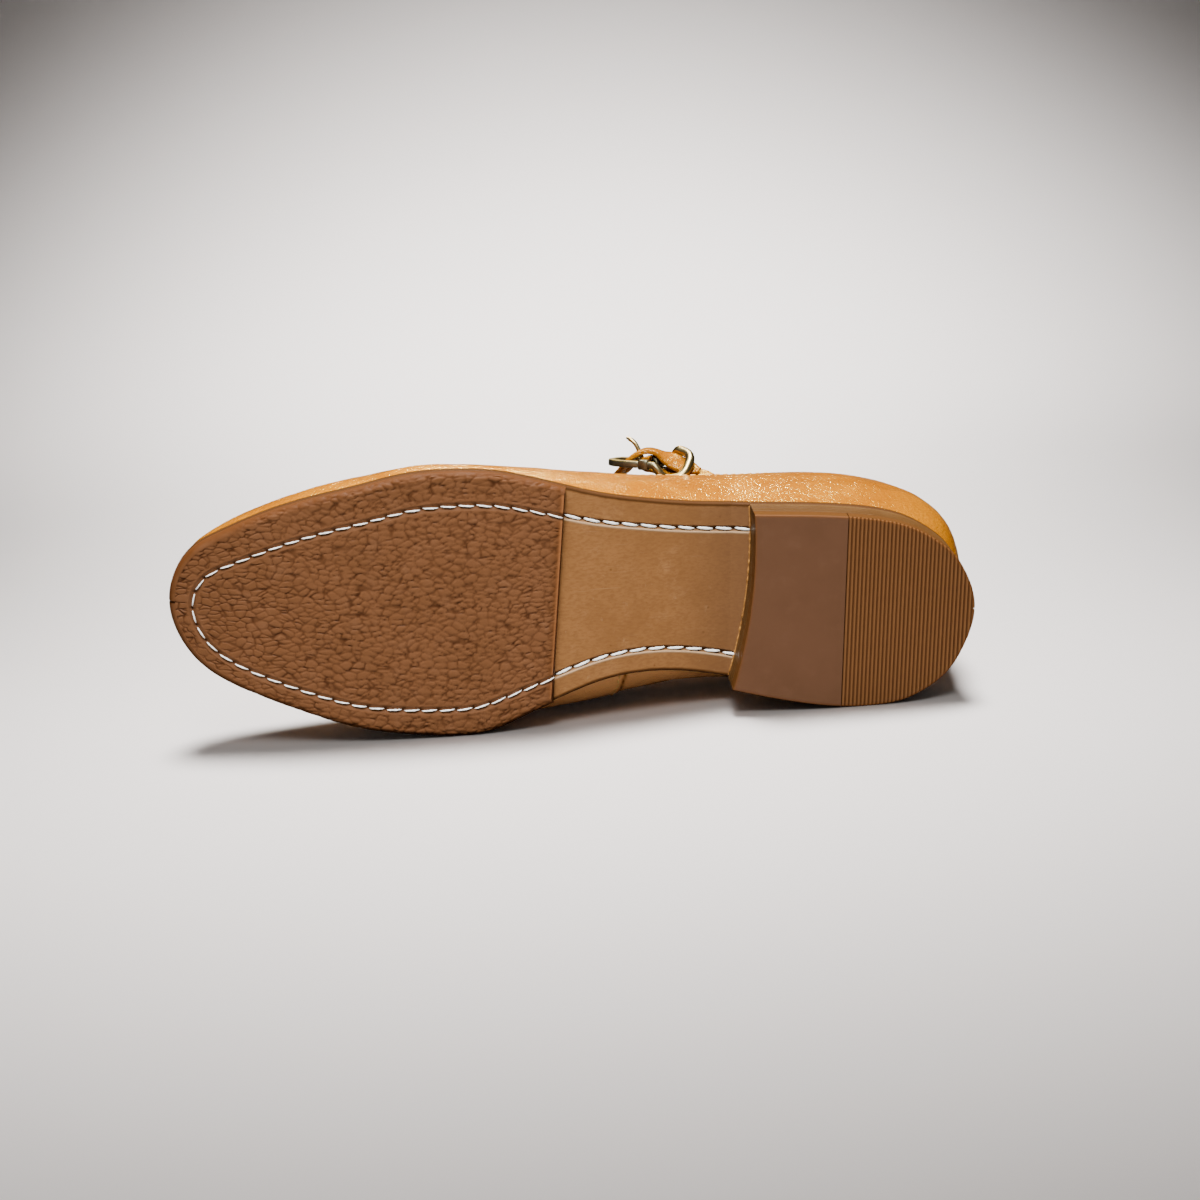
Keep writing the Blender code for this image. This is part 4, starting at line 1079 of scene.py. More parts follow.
def pebbles(plan):
    """Depth below the tops of the pebbles, 0 on a pebble and about 1 at the bottom of a crease."""
    depth = []
    for x, y in np.reshape(plan, (-1, 2)).tolist():
        spot = Vector((x, y, 0.0))
        wander = WANDER * noise.noise_vector(spot / WANDER_SIZE)
        spot += wander + RIPPLE * noise.noise_vector(spot / RIPPLE_SIZE)
        first, second = noise.voronoi(Vector((spot.x / PEBBLE_LONG, spot.y / PEBBLE_WIDE, 0.4)))[0][:2]
        strength = 0.75 + 0.45 * noise.noise(Vector((x, y, 0.1)) / PATCH_SIZE)
        crease = max(1 - (second - first) / CREASE_REACH, 0.0)
        depth.append(DOME_HEIGHT * min(first / DOME_REACH, 1.0) ** 3 + strength * crease)
    return softened(np.clip(np.reshape(depth, np.shape(plan)[:-1]), 0, 1.1))


print("pebbles of", PEBBLE_LONG * 1000, "by", PEBBLE_WIDE * 1000, "mm")

# %% Build the half sole
SMOOTH_BAND, REAR_BAND, REAR_ROUND = 0.0013, 0.0009, 0.0006
EDGE_ROUND, ROUND_STEPS = 0.0022, 12
THREAD_BED = 0.0004
# Widths of the painted highlight on the rear crest, and of the painted shade at the rear edge and the rim.
CREST_HIGHLIGHT_WIDTH, REAR_SHADE_REACH, EDGE_SHADE_REACH = 0.0007, 0.0035, 0.0050
TOE_SMOOTH = (0.240, 0.256)


def tread(x):
    return underside(x) - GAP - HALF_SOLE_THICK


def off_rear_band(plan):
    """0 in the smooth band at the rear edge, 1 in front of it."""
    return soft_step(REAR_BAND, 2.2 * REAR_BAND, past_rear_edge(plan))


# How strongly shade is painted into a crease of the given depth.
def crease_shade_paint(crease):
    return 0.95 * np.clip(crease, 0, 1) ** 1.4


last = math.pi - END_TURN
outer_turns = even_turns(385, turn_of(HALF_SOLE_OUTER), last)
inner_turns = 2 * math.pi - even_turns(385, turn_of(HALF_SOLE_INNER), last)
rim = rounded_rim(HALF_SOLE_THICK, EDGE_ROUND, 0.0003, ROUND_STEPS)
across = np.linspace(0, 1, 218)[1:-1]
rings = layer_rings(outer_turns, inner_turns, tread, rim, across)
bottom = bottom_of(rim, across)
plan = rings[:, bottom, :2].copy()
gap, pit = stitch_marks(plan)
past_rear = past_rear_edge(plan)
clear_of_thread = soft_step(SMOOTH_BAND, 1.9 * SMOOTH_BAND, np.abs(gap))
crease = pebbles(plan) * (clear_of_thread * off_rear_band(plan))
channel = 1 - soft_step(0.5 * SMOOTH_BAND, 1.3 * SMOOTH_BAND, np.abs(gap))
rear_lift = np.clip(REAR_ROUND - past_rear, 0, REAR_ROUND)
rear_lift = REAR_ROUND - np.sqrt(np.maximum(REAR_ROUND**2 - rear_lift**2, 0))
rings[:, bottom, 2] += PEBBLE_DEPTH * crease + THREAD_BED * channel + PIT_DEPTH * pit * channel + rear_lift
marks = blank_marks(rings, "crease", "pit", "side", "crest_highlight")
# Painted highlight along the crest of the rounded rear edge.
marks["crest_highlight"][:, bottom] = 0.9 * hump(past_rear - REAR_ROUND, CREST_HIGHLIGHT_WIDTH) * (1 - channel)
# Painted shade in the creases.
marks["crease"][:, bottom] = crease_shade_paint(crease)
# Painted shade: full in the stitch holes, lighter along the channel.
marks["pit"][:, bottom] = np.maximum(pit * channel, 0.3 * channel)
# Painted shade near the outline and at the rear edge of the bottom face.
painted_edge_shade = 0.85 * edge_closeness(rings[:, bottom], EDGE_SHADE_REACH) ** 1.5
marks["side"][:, bottom] = np.maximum(painted_edge_shade, 0.75 * hump(past_rear, REAR_SHADE_REACH))
mark_sides(marks["side"], bottom, np.ones(len(rim)))
lean = np.linspace(0, math.pi / 2, ROUND_STEPS)
rolled_out = EDGE_ROUND * (1 - math.pi / 2 + lean)
fade = 0.2 + 0.8 * soft_step(0.0, 0.8, lean)
outer_rim = slice(len(rim) - ROUND_STEPS, len(rim))
inner_rim = slice(bottom.stop + ROUND_STEPS - 1, bottom.stop - 1, -1)
for turns, columns in ((outer_turns, outer_rim), (inner_turns, inner_rim)):
    plan = np.stack([edge(turns, np.full(len(turns), inset))[0] for inset in rolled_out], axis=1)
    _, out = edge(turns)
    crease = pebbles(plan) * fade * off_rear_band(plan)
    crease *= 1 - 0.95 * soft_step(*TOE_SMOOTH, plan[..., 0])
    rings[:, columns, :2] -= out[:, None] * (PEBBLE_DEPTH * crease * np.cos(lean))[..., None]
    rings[:, columns, 2] += PEBBLE_DEPTH * crease * np.sin(lean)
    marks["crease"][:, columns] = crease_shade_paint(crease)
    # Painted shade over the rounded edge, strongest on the side.
    marks["side"][:, columns] = 1 - 0.6 * soft_step(0.2, 1.0, lean / lean[-1])
half_sole = mesh_object("half_sole_crepe", rings, CREPE_RUBBER, marks)
dress(half_sole, ["half_sole"])

# %% [markdown]
# ## Thread
# Each stitch of the lockstitch is a short spindle of waxed white thread that dives into a hole at both
# ends, laid a little askew to the line. Two plies twist round each other, so the section is slightly
# two-lobed and turns along the stitch. One function makes all stitches of a row as one joined mesh. Those
# in the rubber are pulled in deeper and show less of their width than those on bare leather.

# %% Thread material and stitch maker
def make_thread(name, colour, shade):
    made, tree, shader, place, tone = finish(name, 0.004, (shade, colour, colour), 0.55)
    feed(tree, shader, Base_Color=tone)
    strands = noise_value(tree, scale_place(tree, place, 5200.0), 1.0, 2.0)
    add_bump(tree, shader, strands, 0.25, 0.00006)
    return made


WHITE_THREAD = make_thread("white_thread", (0.95, 0.94, 0.90), (0.88, 0.86, 0.80))
GOLD_THREAD = make_thread("gold_thread", (0.62, 0.34, 0.08), (0.48, 0.23, 0.045))
STITCH_SECTIONS, STITCH_SIDES, PLY_TURNS = 13, 10, 2.5
STITCH_LIFT = 0.00012


def stitch_row(name, thread, starts, ends, ups, wide, tall, dive):
    """A row of spindles between pairs of points, as one piece."""
    points, faces = [], []
    single = grid_faces(STITCH_SECTIONS, STITCH_SIDES)
    along = np.linspace(-1, 1, STITCH_SECTIONS)
    swell = np.sqrt(1 - 0.95 * np.abs(along) ** 2.4)
    sunk = dive * (np.abs(along) ** 4)[:, None]
    around = np.linspace(0, 2 * math.pi, STITCH_SIDES, endpoint=False)
    lobes = 1 + 0.10 * np.cos(2 * around[None] + PLY_TURNS * math.pi * along[:, None])
    girths = np.broadcast_to(wide, len(starts))
    for number, (start, end, up, girth) in enumerate(zip(starts, ends, ups, girths)):
        way = unit(end - start)
        side = unit(np.cross(up, way))
        top = np.cross(way, side)
        spine = start + (end - start) * (along[:, None] + 1) / 2 - top * sunk
        spread = side * np.cos(around)[:, None] * girth / 2 + top * np.sin(around)[:, None] * tall / 2
        points.append(spine[:, None] + (swell[:, None] * lobes)[..., None] * spread[None])
        base = number * STITCH_SECTIONS * STITCH_SIDES
        faces += [[base + corner for corner in face] for face in single]
    return dress(mesh_object(name, np.concatenate(points), thread, faces=faces))


print("thread:", WHITE_THREAD.name, GOLD_THREAD.name)

# %% Sole stitches
SKEW, SOLE_DIVE = 0.00022, 0.0006
STITCH_SUNK, STITCH_BARE = 0.48, 0.84


def sole_face(plan):
    """Height of the sole's bottom face: half sole in front of its rear edge, bare leather behind it."""
    return np.where(past_rear_edge(plan) > 0, tread(plan[..., 0]), underside(plan[..., 0]))


ends = []
for offset, askew in ((STITCH_GAP / 2, -SKEW), (1 - STITCH_GAP / 2, SKEW)):
    plan = on_stitch_line(np.arange(STITCHES) + offset)
    plan[:, 1] += askew
    ends.append(np.column_stack([plan, sole_face(plan) + STITCH_LIFT]))
downs = np.tile((0.0, 0.0, -1.0), (STITCHES, 1))
widths = np.where(past_rear_edge(ends[0]) > 0, STITCH_SUNK, STITCH_BARE) * STITCH_WIDE
stitch_row("sole_stitches", WHITE_THREAD, *ends, downs, widths, STITCH_TALL, SOLE_DIVE)

# %% [markdown]
# ## Seams of the upper
# Two finer rows hold the upper: one follows the topline, one the lapped edge on the inner side. Their
# thread is dyed to match. They are made from the same spindles, set on the finished skin and facing out.

# %% Seam stitches
SEAM_PITCH, SEAM_LONG, SEAM_WIDE, SEAM_TALL, SEAM_DIVE = 0.0030, 0.0024, 0.00062, 0.0005, 0.0003
TOPLINE_ROW, SEAM_SET_BACK = 0.0024, 0.0019


def row_on_skin(name, line, outs):
    """Stitches along a line of points on the upper, facing out."""
    run = run_along(line)
    first = np.arange(int(run[-1] / SEAM_PITCH)) * SEAM_PITCH
    facing = unit(between(first + SEAM_LONG / 2, run, outs))
    ends = [between(where, run, line) + facing * STITCH_LIFT for where in (first, first + SEAM_LONG)]
    return stitch_row(name, GOLD_THREAD, *ends, facing, SEAM_WIDE, SEAM_TALL, SEAM_DIVE)


below_top = np.linalg.norm(skin - skin[:, -1:], axis=2)
ribs = np.append(np.arange(len(skin)), 0)
columns = np.argmin(np.abs(below_top - TOPLINE_ROW), axis=1)[ribs]
row_on_skin("topline_stitches", skin[ribs, columns], wall_out[ribs, columns])
inner_ribs = np.nonzero(WALL_TURNS > math.pi)[0]
columns = np.arange(2, len(WALL_RISES) - 5)
off_row = np.abs(skin[inner_ribs][:, columns, 0] - (seam_x[columns] + SEAM_SET_BACK))
ribs = inner_ribs[np.argmin(off_row, axis=0)]
row_on_skin("seam_stitches", skin[ribs, columns], wall_out[ribs, columns])

# %% [markdown]
# ## The stacked heel
# The heel is a pile of thin leather layers, glued, trimmed and burnished. On the side they show as fine
# lines of slightly different browns. The grooves between them are in the side profile of the lift, and the
# colour follows the height. The front face, the breast, is hollowed.

# %% Heel leather material
LAYER = 0.00113


def make_heel_leather():
    tones = (0.076, 0.036, 0.012), (0.098, 0.049, 0.017), (0.122, 0.065, 0.025)
    made, tree, shader, place, colour = finish(
        "heel_leather", 0.012, tones, (0.34, 0.52), Specular_IOR_Level=0.04
    )
    height = shader_node(tree, "SeparateXYZ", {0: place}).outputs["Z"]
    level = calculate(tree, "FLOOR", calculate(tree, "DIVIDE", height, LAYER))
    pick = shader_node(tree, "TexWhiteNoise", {"W": level}, noise_dimensions="1D").outputs["Value"]
    colour = tinted(tree, calculate(tree, "MULTIPLY", pick, 0.85), colour, (0.054, 0.022, 0.005))
    colour = marked(tree, "groove", colour, (0.030, 0.011, 0.003))
    feed(tree, shader, Base_Color=colour)
    streaks = noise_value(tree, stretch_place(tree, place, (350.0, 350.0, 5200.0)), 1.0, 3.0)
    add_bump(tree, shader, streaks, 0.30, 0.00010)
    return made


HEEL_LEATHER = make_heel_leather()
print("made", HEEL_LEATHER.name)

# %% Build the lifts
GROOVE, GROOVE_WIDTH, LIFT_CORNER = 0.00014, 0.00012, 0.0002
LIFT_STEPS, LIFT_ROWS = 41, 150


def flat_at(height):
    """The lower face of a layer that lies flat, as layer_rings asks for it."""
    return lambda x: np.full(np.shape(x), height)


heights = np.linspace(HEEL_LIFT_THICK, 0, LIFT_STEPS)
from_joint = np.abs((heights / LAYER + 0.5) % 1 - 0.5) * LAYER
corner = np.clip(1 - np.minimum(heights, HEEL_LIFT_THICK - heights) / LIFT_CORNER, 0, 1)
groove = np.maximum(hump(from_joint, GROOVE_WIDTH), corner)
rim = np.column_stack([GROOVE * groove, heights])
outer_turns = even_turns(LIFT_ROWS, END_TURN, turn_of(BREAST_OUTER))
inner_turns = 2 * math.pi - even_turns(LIFT_ROWS, END_TURN, turn_of(BREAST_INNER))
breast_bow = BREAST_HOLLOW * np.linspace(0, 1, LIFT_ROWS) ** 8
across = np.linspace(0, 1, 40)[1:-1]
faces = bowed_faces(LIFT_ROWS, len(rim), len(across))
base = HEEL_TIP_THICK + GAP
for name in ("heel_lift_lower", "heel_lift_upper"):
    rings = layer_rings(outer_turns, inner_turns, flat_at(base), rim, across, breast_bow, across)
    marks = blank_marks(rings, "groove")
    mark_sides(marks["groove"], bottom_of(rim, across), 0.75 * groove)
    lift = mesh_object(name + "_stack", rings, HEEL_LEATHER, marks, faces=faces)
    dress(lift, [name])
    base += HEEL_LIFT_THICK + GAP

# %% [markdown]
# ## Heel tip
# The tread of the heel is two pieces of brown rubber. The front one is smooth and dull; the rear one, which
# strikes the ground, has fine ribs across it that run out through its rounded edge. Rubber lets some light
# into thin edges, so both turn more orange along the rim. Painted shade darkens their walls, the breast
# face and the grooves between the ribs.

# %% Tip rubber material
def make_tip_rubber():
    tones = (0.083, 0.039, 0.020), (0.089, 0.042, 0.022), (0.096, 0.046, 0.025)
    made, tree, shader, place, colour = finish(
        "tip_rubber", 0.020, tones, (0.42, 0.58), Specular_IOR_Level=0.03
    )
    colour = marked(tree, "rib", colour, (0.132, 0.057, 0.020))
    # Painted shade in the grooves between the ribs.
    colour = marked(tree, "groove", colour, (0.044, 0.016, 0.0055))
    colour = edge_toned(tree, place, colour, (0.104, 0.037, 0.009), 0.3)
    # Painted shade on the walls and on the breast face.
    colour = marked(tree, "wall", colour, (0.072, 0.028, 0.007))
    feed(tree, shader, Base_Color=colour)
    wear = add_group(tree, WEAR_MARKS, {"Place": place, "Spacing": 0.006})
    fine = noise_value(tree, scale_place(tree, place, 2400.0), 1.0, 3.0)
    add_bump(tree, shader, calculate(tree, "ADD", fine, wear["Specks"]), 0.22, 0.00006)
    return made


TIP_RUBBER = make_tip_rubber()
print("made", TIP_RUBBER.name)

# %% Build both tips
RIB_PITCH, RIB_DEPTH, RIB_GROOVE, RIB_SOFT = 0.00135, 0.00048, 0.42, 0.22
TIP_ROUND = 0.0006
TipPart = namedtuple("TipPart", "node rows columns ribs")


def tip_rings(part):
    if part.ribs:
        outer = inner = even_turns(part.rows, END_TURN, turn_of(HEEL_TIP_JOINT - GAP / 2))
        bow = 0.0
    else:
        start = turn_of(HEEL_TIP_JOINT + GAP / 2)
        outer = np.linspace(start, turn_of(BREAST_OUTER), part.rows)
        inner = np.linspace(start, turn_of(BREAST_INNER), part.rows)
        bow = BREAST_HOLLOW * np.linspace(0, 1, part.rows)
    rim = rounded_rim(HEEL_TIP_THICK, TIP_ROUND, 0.0002)
    across = np.linspace(0, 1, part.columns)[1:-1]
    return layer_rings(outer, 2 * math.pi - inner, flat_at(0.0), rim, across, bow, across), rim


for part in (TipPart("heel_tip_front", 130, 100, False), TipPart("heel_tip_rear", 460, 70, True)):
    rings, rim = tip_rings(part)
    low_points = rings[..., 2] < TIP_ROUND
    marks = blank_marks(rings, "side", "wall", "rib", "groove")
    marks["side"] = 0.8 * edge_closeness(rings, DARK_EDGE) ** 1.6 * low_points
    # Painted shade on the walls of the tip, above its rounded tread edge.
    marks["wall"] = 1.0 * ~low_points
    if part.ribs:
        wave = np.mod((HEEL_TIP_JOINT - rings[..., 0]) / RIB_PITCH, 1.0)
        groove = soft_step(1 - RIB_GROOVE - RIB_SOFT, 1 - RIB_GROOVE + RIB_SOFT, np.abs(wave - 0.5) * 2)
        cut_depth = RIB_DEPTH * groove * (1 - 0.5 * rings[..., 2] / TIP_ROUND)
        rings[..., 2] += np.where(low_points, cut_depth, 0)
        # Painted shade in the grooves between the ribs.
        marks["groove"] = 0.85 * groove * low_points
        marks["rib"] = 0.9 * low_points
    else:
        to_breast = 1 - np.linspace(0, 1, part.rows)[:, None]
        marks["side"] = np.maximum(marks["side"], 0.6 * hump(to_breast, 0.03) * low_points)
        # Painted shade on the breast face as well.
        marks["wall"][-1] = 1.0
    faces = bowed_faces(len(rings), len(rim), rings.shape[1] // 2 - len(rim))
    tip = mesh_object(part.node + "_tread", rings, TIP_RUBBER, marks, sharp=60, faces=faces)
    dress(tip, [part.node])

# %% [markdown]
# ## Glue bead at the breast
# Where the heel's front meets the waist, a thread of amber glue was squeezed out and set. It is a thin tube
# along the hollow line, with a radius that swells and fails a little, as such beads do.

# %% Glue material and bead
def make_glue():
    tones = (0.16, 0.065, 0.016), (0.30, 0.135, 0.034), (0.46, 0.25, 0.075)
    made, tree, shader, _, colour = finish("set_glue", 0.004, tones, 0.25, Coat_Weight=0.4)
    feed(tree, shader, Base_Color=colour)
    return made


BEAD_POINTS, BEAD_SIDES, BEAD_RADIUS, BEAD_LUMP = 160, 10, 0.00042, 0.0016
BEAD_INSET, BEAD_AHEAD, BEAD_SUNK = 0.0008, 0.00015, 0.0001
breast_outer, _ = edge(turn_of(BREAST_OUTER), np.array(BEAD_INSET))
breast_inner, _ = edge(turn_of(BREAST_INNER, INNER), np.array(BEAD_INSET))
share = np.linspace(0, 1, BEAD_POINTS)
bead_plan = breast_outer + (breast_inner - breast_outer) * share[:, None]
bead_plan[:, 0] += BEAD_AHEAD - BREAST_HOLLOW * 4 * share * (1 - share)
bead_line = np.column_stack([bead_plan, np.full(BEAD_POINTS, HEEL_SEAT - BEAD_SUNK)])
lumps = [noise.noise(Vector((y / BEAD_LUMP, 7.0, 0.0))) for y in bead_line[:, 1].tolist()]
radius = BEAD_RADIUS * np.clip(0.75 + 0.9 * np.array(lumps), 0.25, 1.5)
bead_way = unit(np.gradient(bead_line, axis=0))
bead_side = unit(np.cross(bead_way, (0.0, 0.0, 1.0)))
around = np.linspace(0, 2 * math.pi, BEAD_SIDES, endpoint=False)
spread = bead_side[:, None] * np.cos(around)[:, None] + np.array((0, 0, 1.0)) * np.sin(around)[:, None]
rings = bead_line[:, None] + radius[:, None, None] * spread
dress(mesh_object("breast_glue", rings, make_glue()))

# %% [markdown]
# ## The buckle's place
# The buckle stands off the outer quarter, tilted, and its rear loop is bent round towards the tread. All
# that touches it is described in its own directions: along it towards the instep, out from it, across it.
# Strap, chape and prong are then a few rows of numbers each, and stay threaded whatever the tilt.

# %% Buckle directions
BUCKLE_CENTRE = np.array((0.1058, 0.0362, 0.0660))
BUCKLE_ALONG = unit(np.array((0.90, -0.04, 0.43)))
BUCKLE_FACING = np.array((0.02, 0.985, 0.16))
BUCKLE_FACING = unit(BUCKLE_FACING - BUCKLE_ALONG * BUCKLE_FACING.dot(BUCKLE_ALONG))
BUCKLE_ACROSS = np.cross(BUCKLE_ALONG, BUCKLE_FACING)
BUCKLE_TWIST = math.radians(42)
TWIST_START, TWIST_END = 0.0035, 0.0090
FRONT_LOOP, REAR_LOOP = 0.0140, 0.0142
LOOP_SQUARENESS = 0.6
BUCKLE_WIDTH, BUCKLE_WAIST = 0.0155, 0.10
WIRE_RADIUS, BAR_RADIUS, BAR_BLOCK, PRONG_RADIUS = 0.00125, 0.0011, 0.0034, 0.00082


def buckle_sides(along):
    """Directions across and out at a place along the buckle."""
    share = float(soft_step(TWIST_START, TWIST_END, -along))
    angle = BUCKLE_TWIST * share
    across = BUCKLE_ACROSS * math.cos(angle) + BUCKLE_FACING * math.sin(angle)
    return across, BUCKLE_FACING * math.cos(angle) - BUCKLE_ACROSS * math.sin(angle)


def buckle_at(along, out=0.0, across=0.0):
    side, facing = buckle_sides(along)
    return BUCKLE_CENTRE + BUCKLE_ALONG * along + side * across + facing * out


def round_bar(radius, first, last, count):
    """Points round the centre bar between two angles, 0 towards the instep and 90 outwards."""
    turns = np.radians(np.linspace(first, last, count))
    return [buckle_at(radius * math.cos(turn), radius * math.sin(turn)) for turn in turns]


print("buckle stands", round(float(BUCKLE_CENTRE[2] * 1000), 1), "mm above the tread")

# %% [markdown]
# ## Strap and chape
# The strap is sewn inside the inner quarter, arches over the instep and is threaded through the buckle. The
# chape is the short strip that holds the buckle to the outer quarter. Both are flat bands with rounded
# edges, swept along a spline through a few places. Punched holes are cut with a Boolean, as a punch would.

# %% Bands along a route
FINE_STEPS = 2000
BAND_CORNER, BAND_ROUND = 5, 0.36


def evenly_along(route, facing, count):
    """Points spaced evenly along a smooth curve through the route, and the facing at each."""
    run = run_along(route)
    curve = smooth_curve(run, route)
    where = np.linspace(0, run[-1], FINE_STEPS)
    length = run_along(curve(where))
    picks = np.interp(np.linspace(0, length[-1], count), length, where)
    return curve(picks), between(picks, run, unit(facing))


def band_rings(path, facing, width, thick, crown=0.0002):
    """Rings of a flat band with rounded edges and a slightly crowned face."""
    along = unit(np.gradient(path, axis=0))
    side = unit(np.cross(along, facing))
    out = np.cross(side, along)
    radius = thick * BAND_ROUND
    section = []
    corners = ((1, 1, 0), (-1, 1, 90), (-1, -1, 180), (1, -1, 270))
    for sign_side, sign_out, start in corners:
        level = sign_out * (thick / 2 - radius)
        for turn in np.radians(np.linspace(start, start + 90, BAND_CORNER)):
            section.append((sign_side, math.cos(turn), level, math.sin(turn)))
        if start in (0, 180):
            section += [(lean * sign_side, 0.0, level, sign_out) for lean in (0.5, 0.0, -0.5)]
    half = np.broadcast_to(np.asarray(width) / 2, len(path))
    rings = []
    for lean, cos_turn, level, sin_turn in section:
        sideways = lean * (half - radius) + radius * cos_turn
        outward = level + radius * sin_turn + (crown * (1 - lean * lean) if level > 0 else 0.0)
        rings.append(path + side * sideways[:, None] + out * outward)
    return np.stack(rings, axis=1)


def cut(obj, cutter, operation="DIFFERENCE"):
    """A Boolean whose result stays in the mesh; the cutter is removed."""
    change = obj.modifiers.new(cutter.name, "BOOLEAN")
    change.operation = operation
    change.object = cutter
    bpy.context.view_layer.update()
    result = bpy.data.meshes.new_from_object(obj.evaluated_get(bpy.context.evaluated_depsgraph_get()))
    obj.modifiers.clear()
    obj.data = result
    bpy.data.objects.remove(cutter, do_unlink=True)


def wire_rings(path, facing, radius, sides, closed=False, squareness=2.0):
    """Rings of a wire round a path; a squareness over 2 flattens its section."""
    along = np.roll(path, -1, axis=0) - np.roll(path, 1, axis=0) if closed else np.gradient(path, axis=0)
    side = unit(np.cross(unit(along), facing))
    out = np.cross(side, unit(along))
    turns = np.linspace(0, 2 * math.pi, sides, endpoint=False) + math.pi / sides
    power = np.broadcast_to(squareness, len(path))[:, None]
    fatness = (np.abs(np.cos(turns)) ** power + np.abs(np.sin(turns)) ** power) ** (-1 / power)
    reach = np.broadcast_to(radius, len(path))[:, None] * fatness
    spread = side[:, None] * np.cos(turns)[:, None] + out[:, None] * np.sin(turns)[:, None]
    return path[:, None] + reach[..., None] * spread


print("bands and wires ready")

# %% Build the strap
Pass = namedtuple("Pass", "along out across", defaults=(0.0,))
STRAP_PASS = [
    Pass(0.0142, -0.0062),
    Pass(0.0097, -0.0022),
    Pass(0.0058, 0.0026),
    Pass(0.0018, 0.0044, 0.0010),
    Pass(-0.0028, 0.0034, 0.0020),
    Pass(-0.0085, -0.0008, 0.0022),
    Pass(-0.0142, -0.0036, 0.0018),
    Pass(-0.0172, -0.0040, 0.0014),
]
INSTEP_ROUTE = [
    (0.1445, -0.0225, 0.0615),
    (0.1405, -0.0105, 0.0705),
    (0.1360, 0.0025, 0.0745),
    (0.1310, 0.0140, 0.0745),
    (0.1258, 0.0235, 0.0715),
]
STRAP_AXIS = (0.002, 0.048)
STRAP_WIDTH, STRAP_FOOT_WIDTH, STRAP_TAPER, STRAP_THICK = 0.0085, 0.0130, 0.6, 0.0020
CHAPE_WIDTH, CHAPE_THICK, CHAPE_SLOT = 0.0085, 0.0015, 0.0026
QUARTER_EASE = 0.0006
STRAP_FOOT, STRAP_FOOT_RISES = 0.150, (0.50, 0.66, 0.82, 0.96)
CHAPE_FOOT, CHAPE_FOOT_RISES = 0.083, (0.55, 0.70, 0.84, 0.95)
STRAP_HOLE_RADIUS, STRAP_HOLES = 0.0012, (0.030, 0.037, 0.044)
STRAP_STEPS = 240
STRAP_TIP_NARROW, STRAP_TIP_FADE, STRAP_TIP_ROUND = 0.22, (0.006, 0.020), 0.004
BAND_EASE = 0.0001
PUNCH_SIDES = 24


def inside_quarter(x, side, rises, depth):
    """Points inside the upper at one of its ribs, the depth below its outer face, and their facing."""
    near = upper_wall(turn_of(x, side) + 0.01 * np.array([-1, 0, 1]), rises)
    facing = wall_normals(near)[1]
    return near[1] - facing * depth, facing


def passage(steps):
    return np.array([buckle_at(*step) for step in steps]), [buckle_sides(step.along)[1] for step in steps]


foot, foot_facing = inside_quarter(
    STRAP_FOOT, INNER, STRAP_FOOT_RISES, UPPER_WALL + QUARTER_EASE + STRAP_THICK / 2
)
instep = np.array(INSTEP_ROUTE)
instep_facing = unit(instep - np.column_stack([instep[:, 0], np.tile(STRAP_AXIS, (len(instep), 1))]))
ends, end_facing = passage(STRAP_PASS)
route = np.concatenate([foot, instep, ends])
facing = np.concatenate([foot_facing, instep_facing, end_facing])
path, facing = evenly_along(route, facing, STRAP_STEPS)
taper = np.clip(np.linspace(0, 1, STRAP_STEPS) / STRAP_TAPER, 0, 1)
width = STRAP_FOOT_WIDTH + (STRAP_WIDTH - STRAP_FOOT_WIDTH) * taper
strap_run = run_along(path)
to_end = strap_run[-1] - strap_run
width = width * (1 - STRAP_TIP_NARROW * (1 - soft_step(*STRAP_TIP_FADE, to_end)))
width = width * np.sqrt(np.clip(to_end / STRAP_TIP_ROUND, 0.2, 1))
rings = band_rings(path, facing, width, STRAP_THICK - BAND_EASE)
strap = mesh_object("strap_band", rings, UPPER_LEATHER, sharp=60)
punches = []
for back_from_end in STRAP_HOLES:
    i = int(np.searchsorted(strap_run, strap_run[-1] - back_from_end))
    reach = unit(facing[i]) * STRAP_THICK * 2
    punches.append((path[i] - reach, path[i] + reach))
PRONG_PASS = [
    Pass(0.0031, 0.0011),
    Pass(0.0044, 0.0036),
    Pass(0.0056, 0.0058),
    Pass(0.0074, 0.0077),
    Pass(0.0098, 0.0087),
]
punches.append((buckle_at(*PRONG_PASS[0]), buckle_at(*PRONG_PASS[3])))
for number, punch_ends in enumerate(punches):
    rings = wire_rings(np.array(punch_ends), np.array([BUCKLE_ALONG] * 2), STRAP_HOLE_RADIUS, PUNCH_SIDES)
    cut(strap, mesh_object(f"punch_{number}", rings))
strap.data.set_sharp_from_angle(angle=math.radians(50))
dress(strap, ["strap"])

# %% Build the chape
CHAPE_PASS = [Pass(-0.0180, -0.0066), Pass(-0.0142, -0.0057), Pass(-0.0070, -0.0042)]
CHAPE_WRAP, CHAPE_STEPS = (-100, 110), 160
foot, foot_facing = inside_quarter(
    CHAPE_FOOT, OUTER, CHAPE_FOOT_RISES, UPPER_WALL + QUARTER_EASE + CHAPE_THICK / 2
)
ends, end_facing = passage(CHAPE_PASS)
wrap = np.array(round_bar(BAR_RADIUS + GAP + CHAPE_THICK / 2, *CHAPE_WRAP, 10))
route = np.concatenate([foot, ends, wrap])
facing = np.concatenate([foot_facing, end_facing, BUCKLE_CENTRE - wrap])
path, facing = evenly_along(route, facing, CHAPE_STEPS)
rings = band_rings(path, facing, CHAPE_WIDTH, CHAPE_THICK - BAND_EASE, crown=0.0001)
chape = mesh_object("chape_band", rings, UPPER_LEATHER, sharp=60)
reach = TWIST_START
slot_corners = ((-reach, -reach), (2 * reach, -reach), (2 * reach, 2 * reach), (-reach, 2 * reach))
half = BUCKLE_ACROSS * CHAPE_SLOT / 2
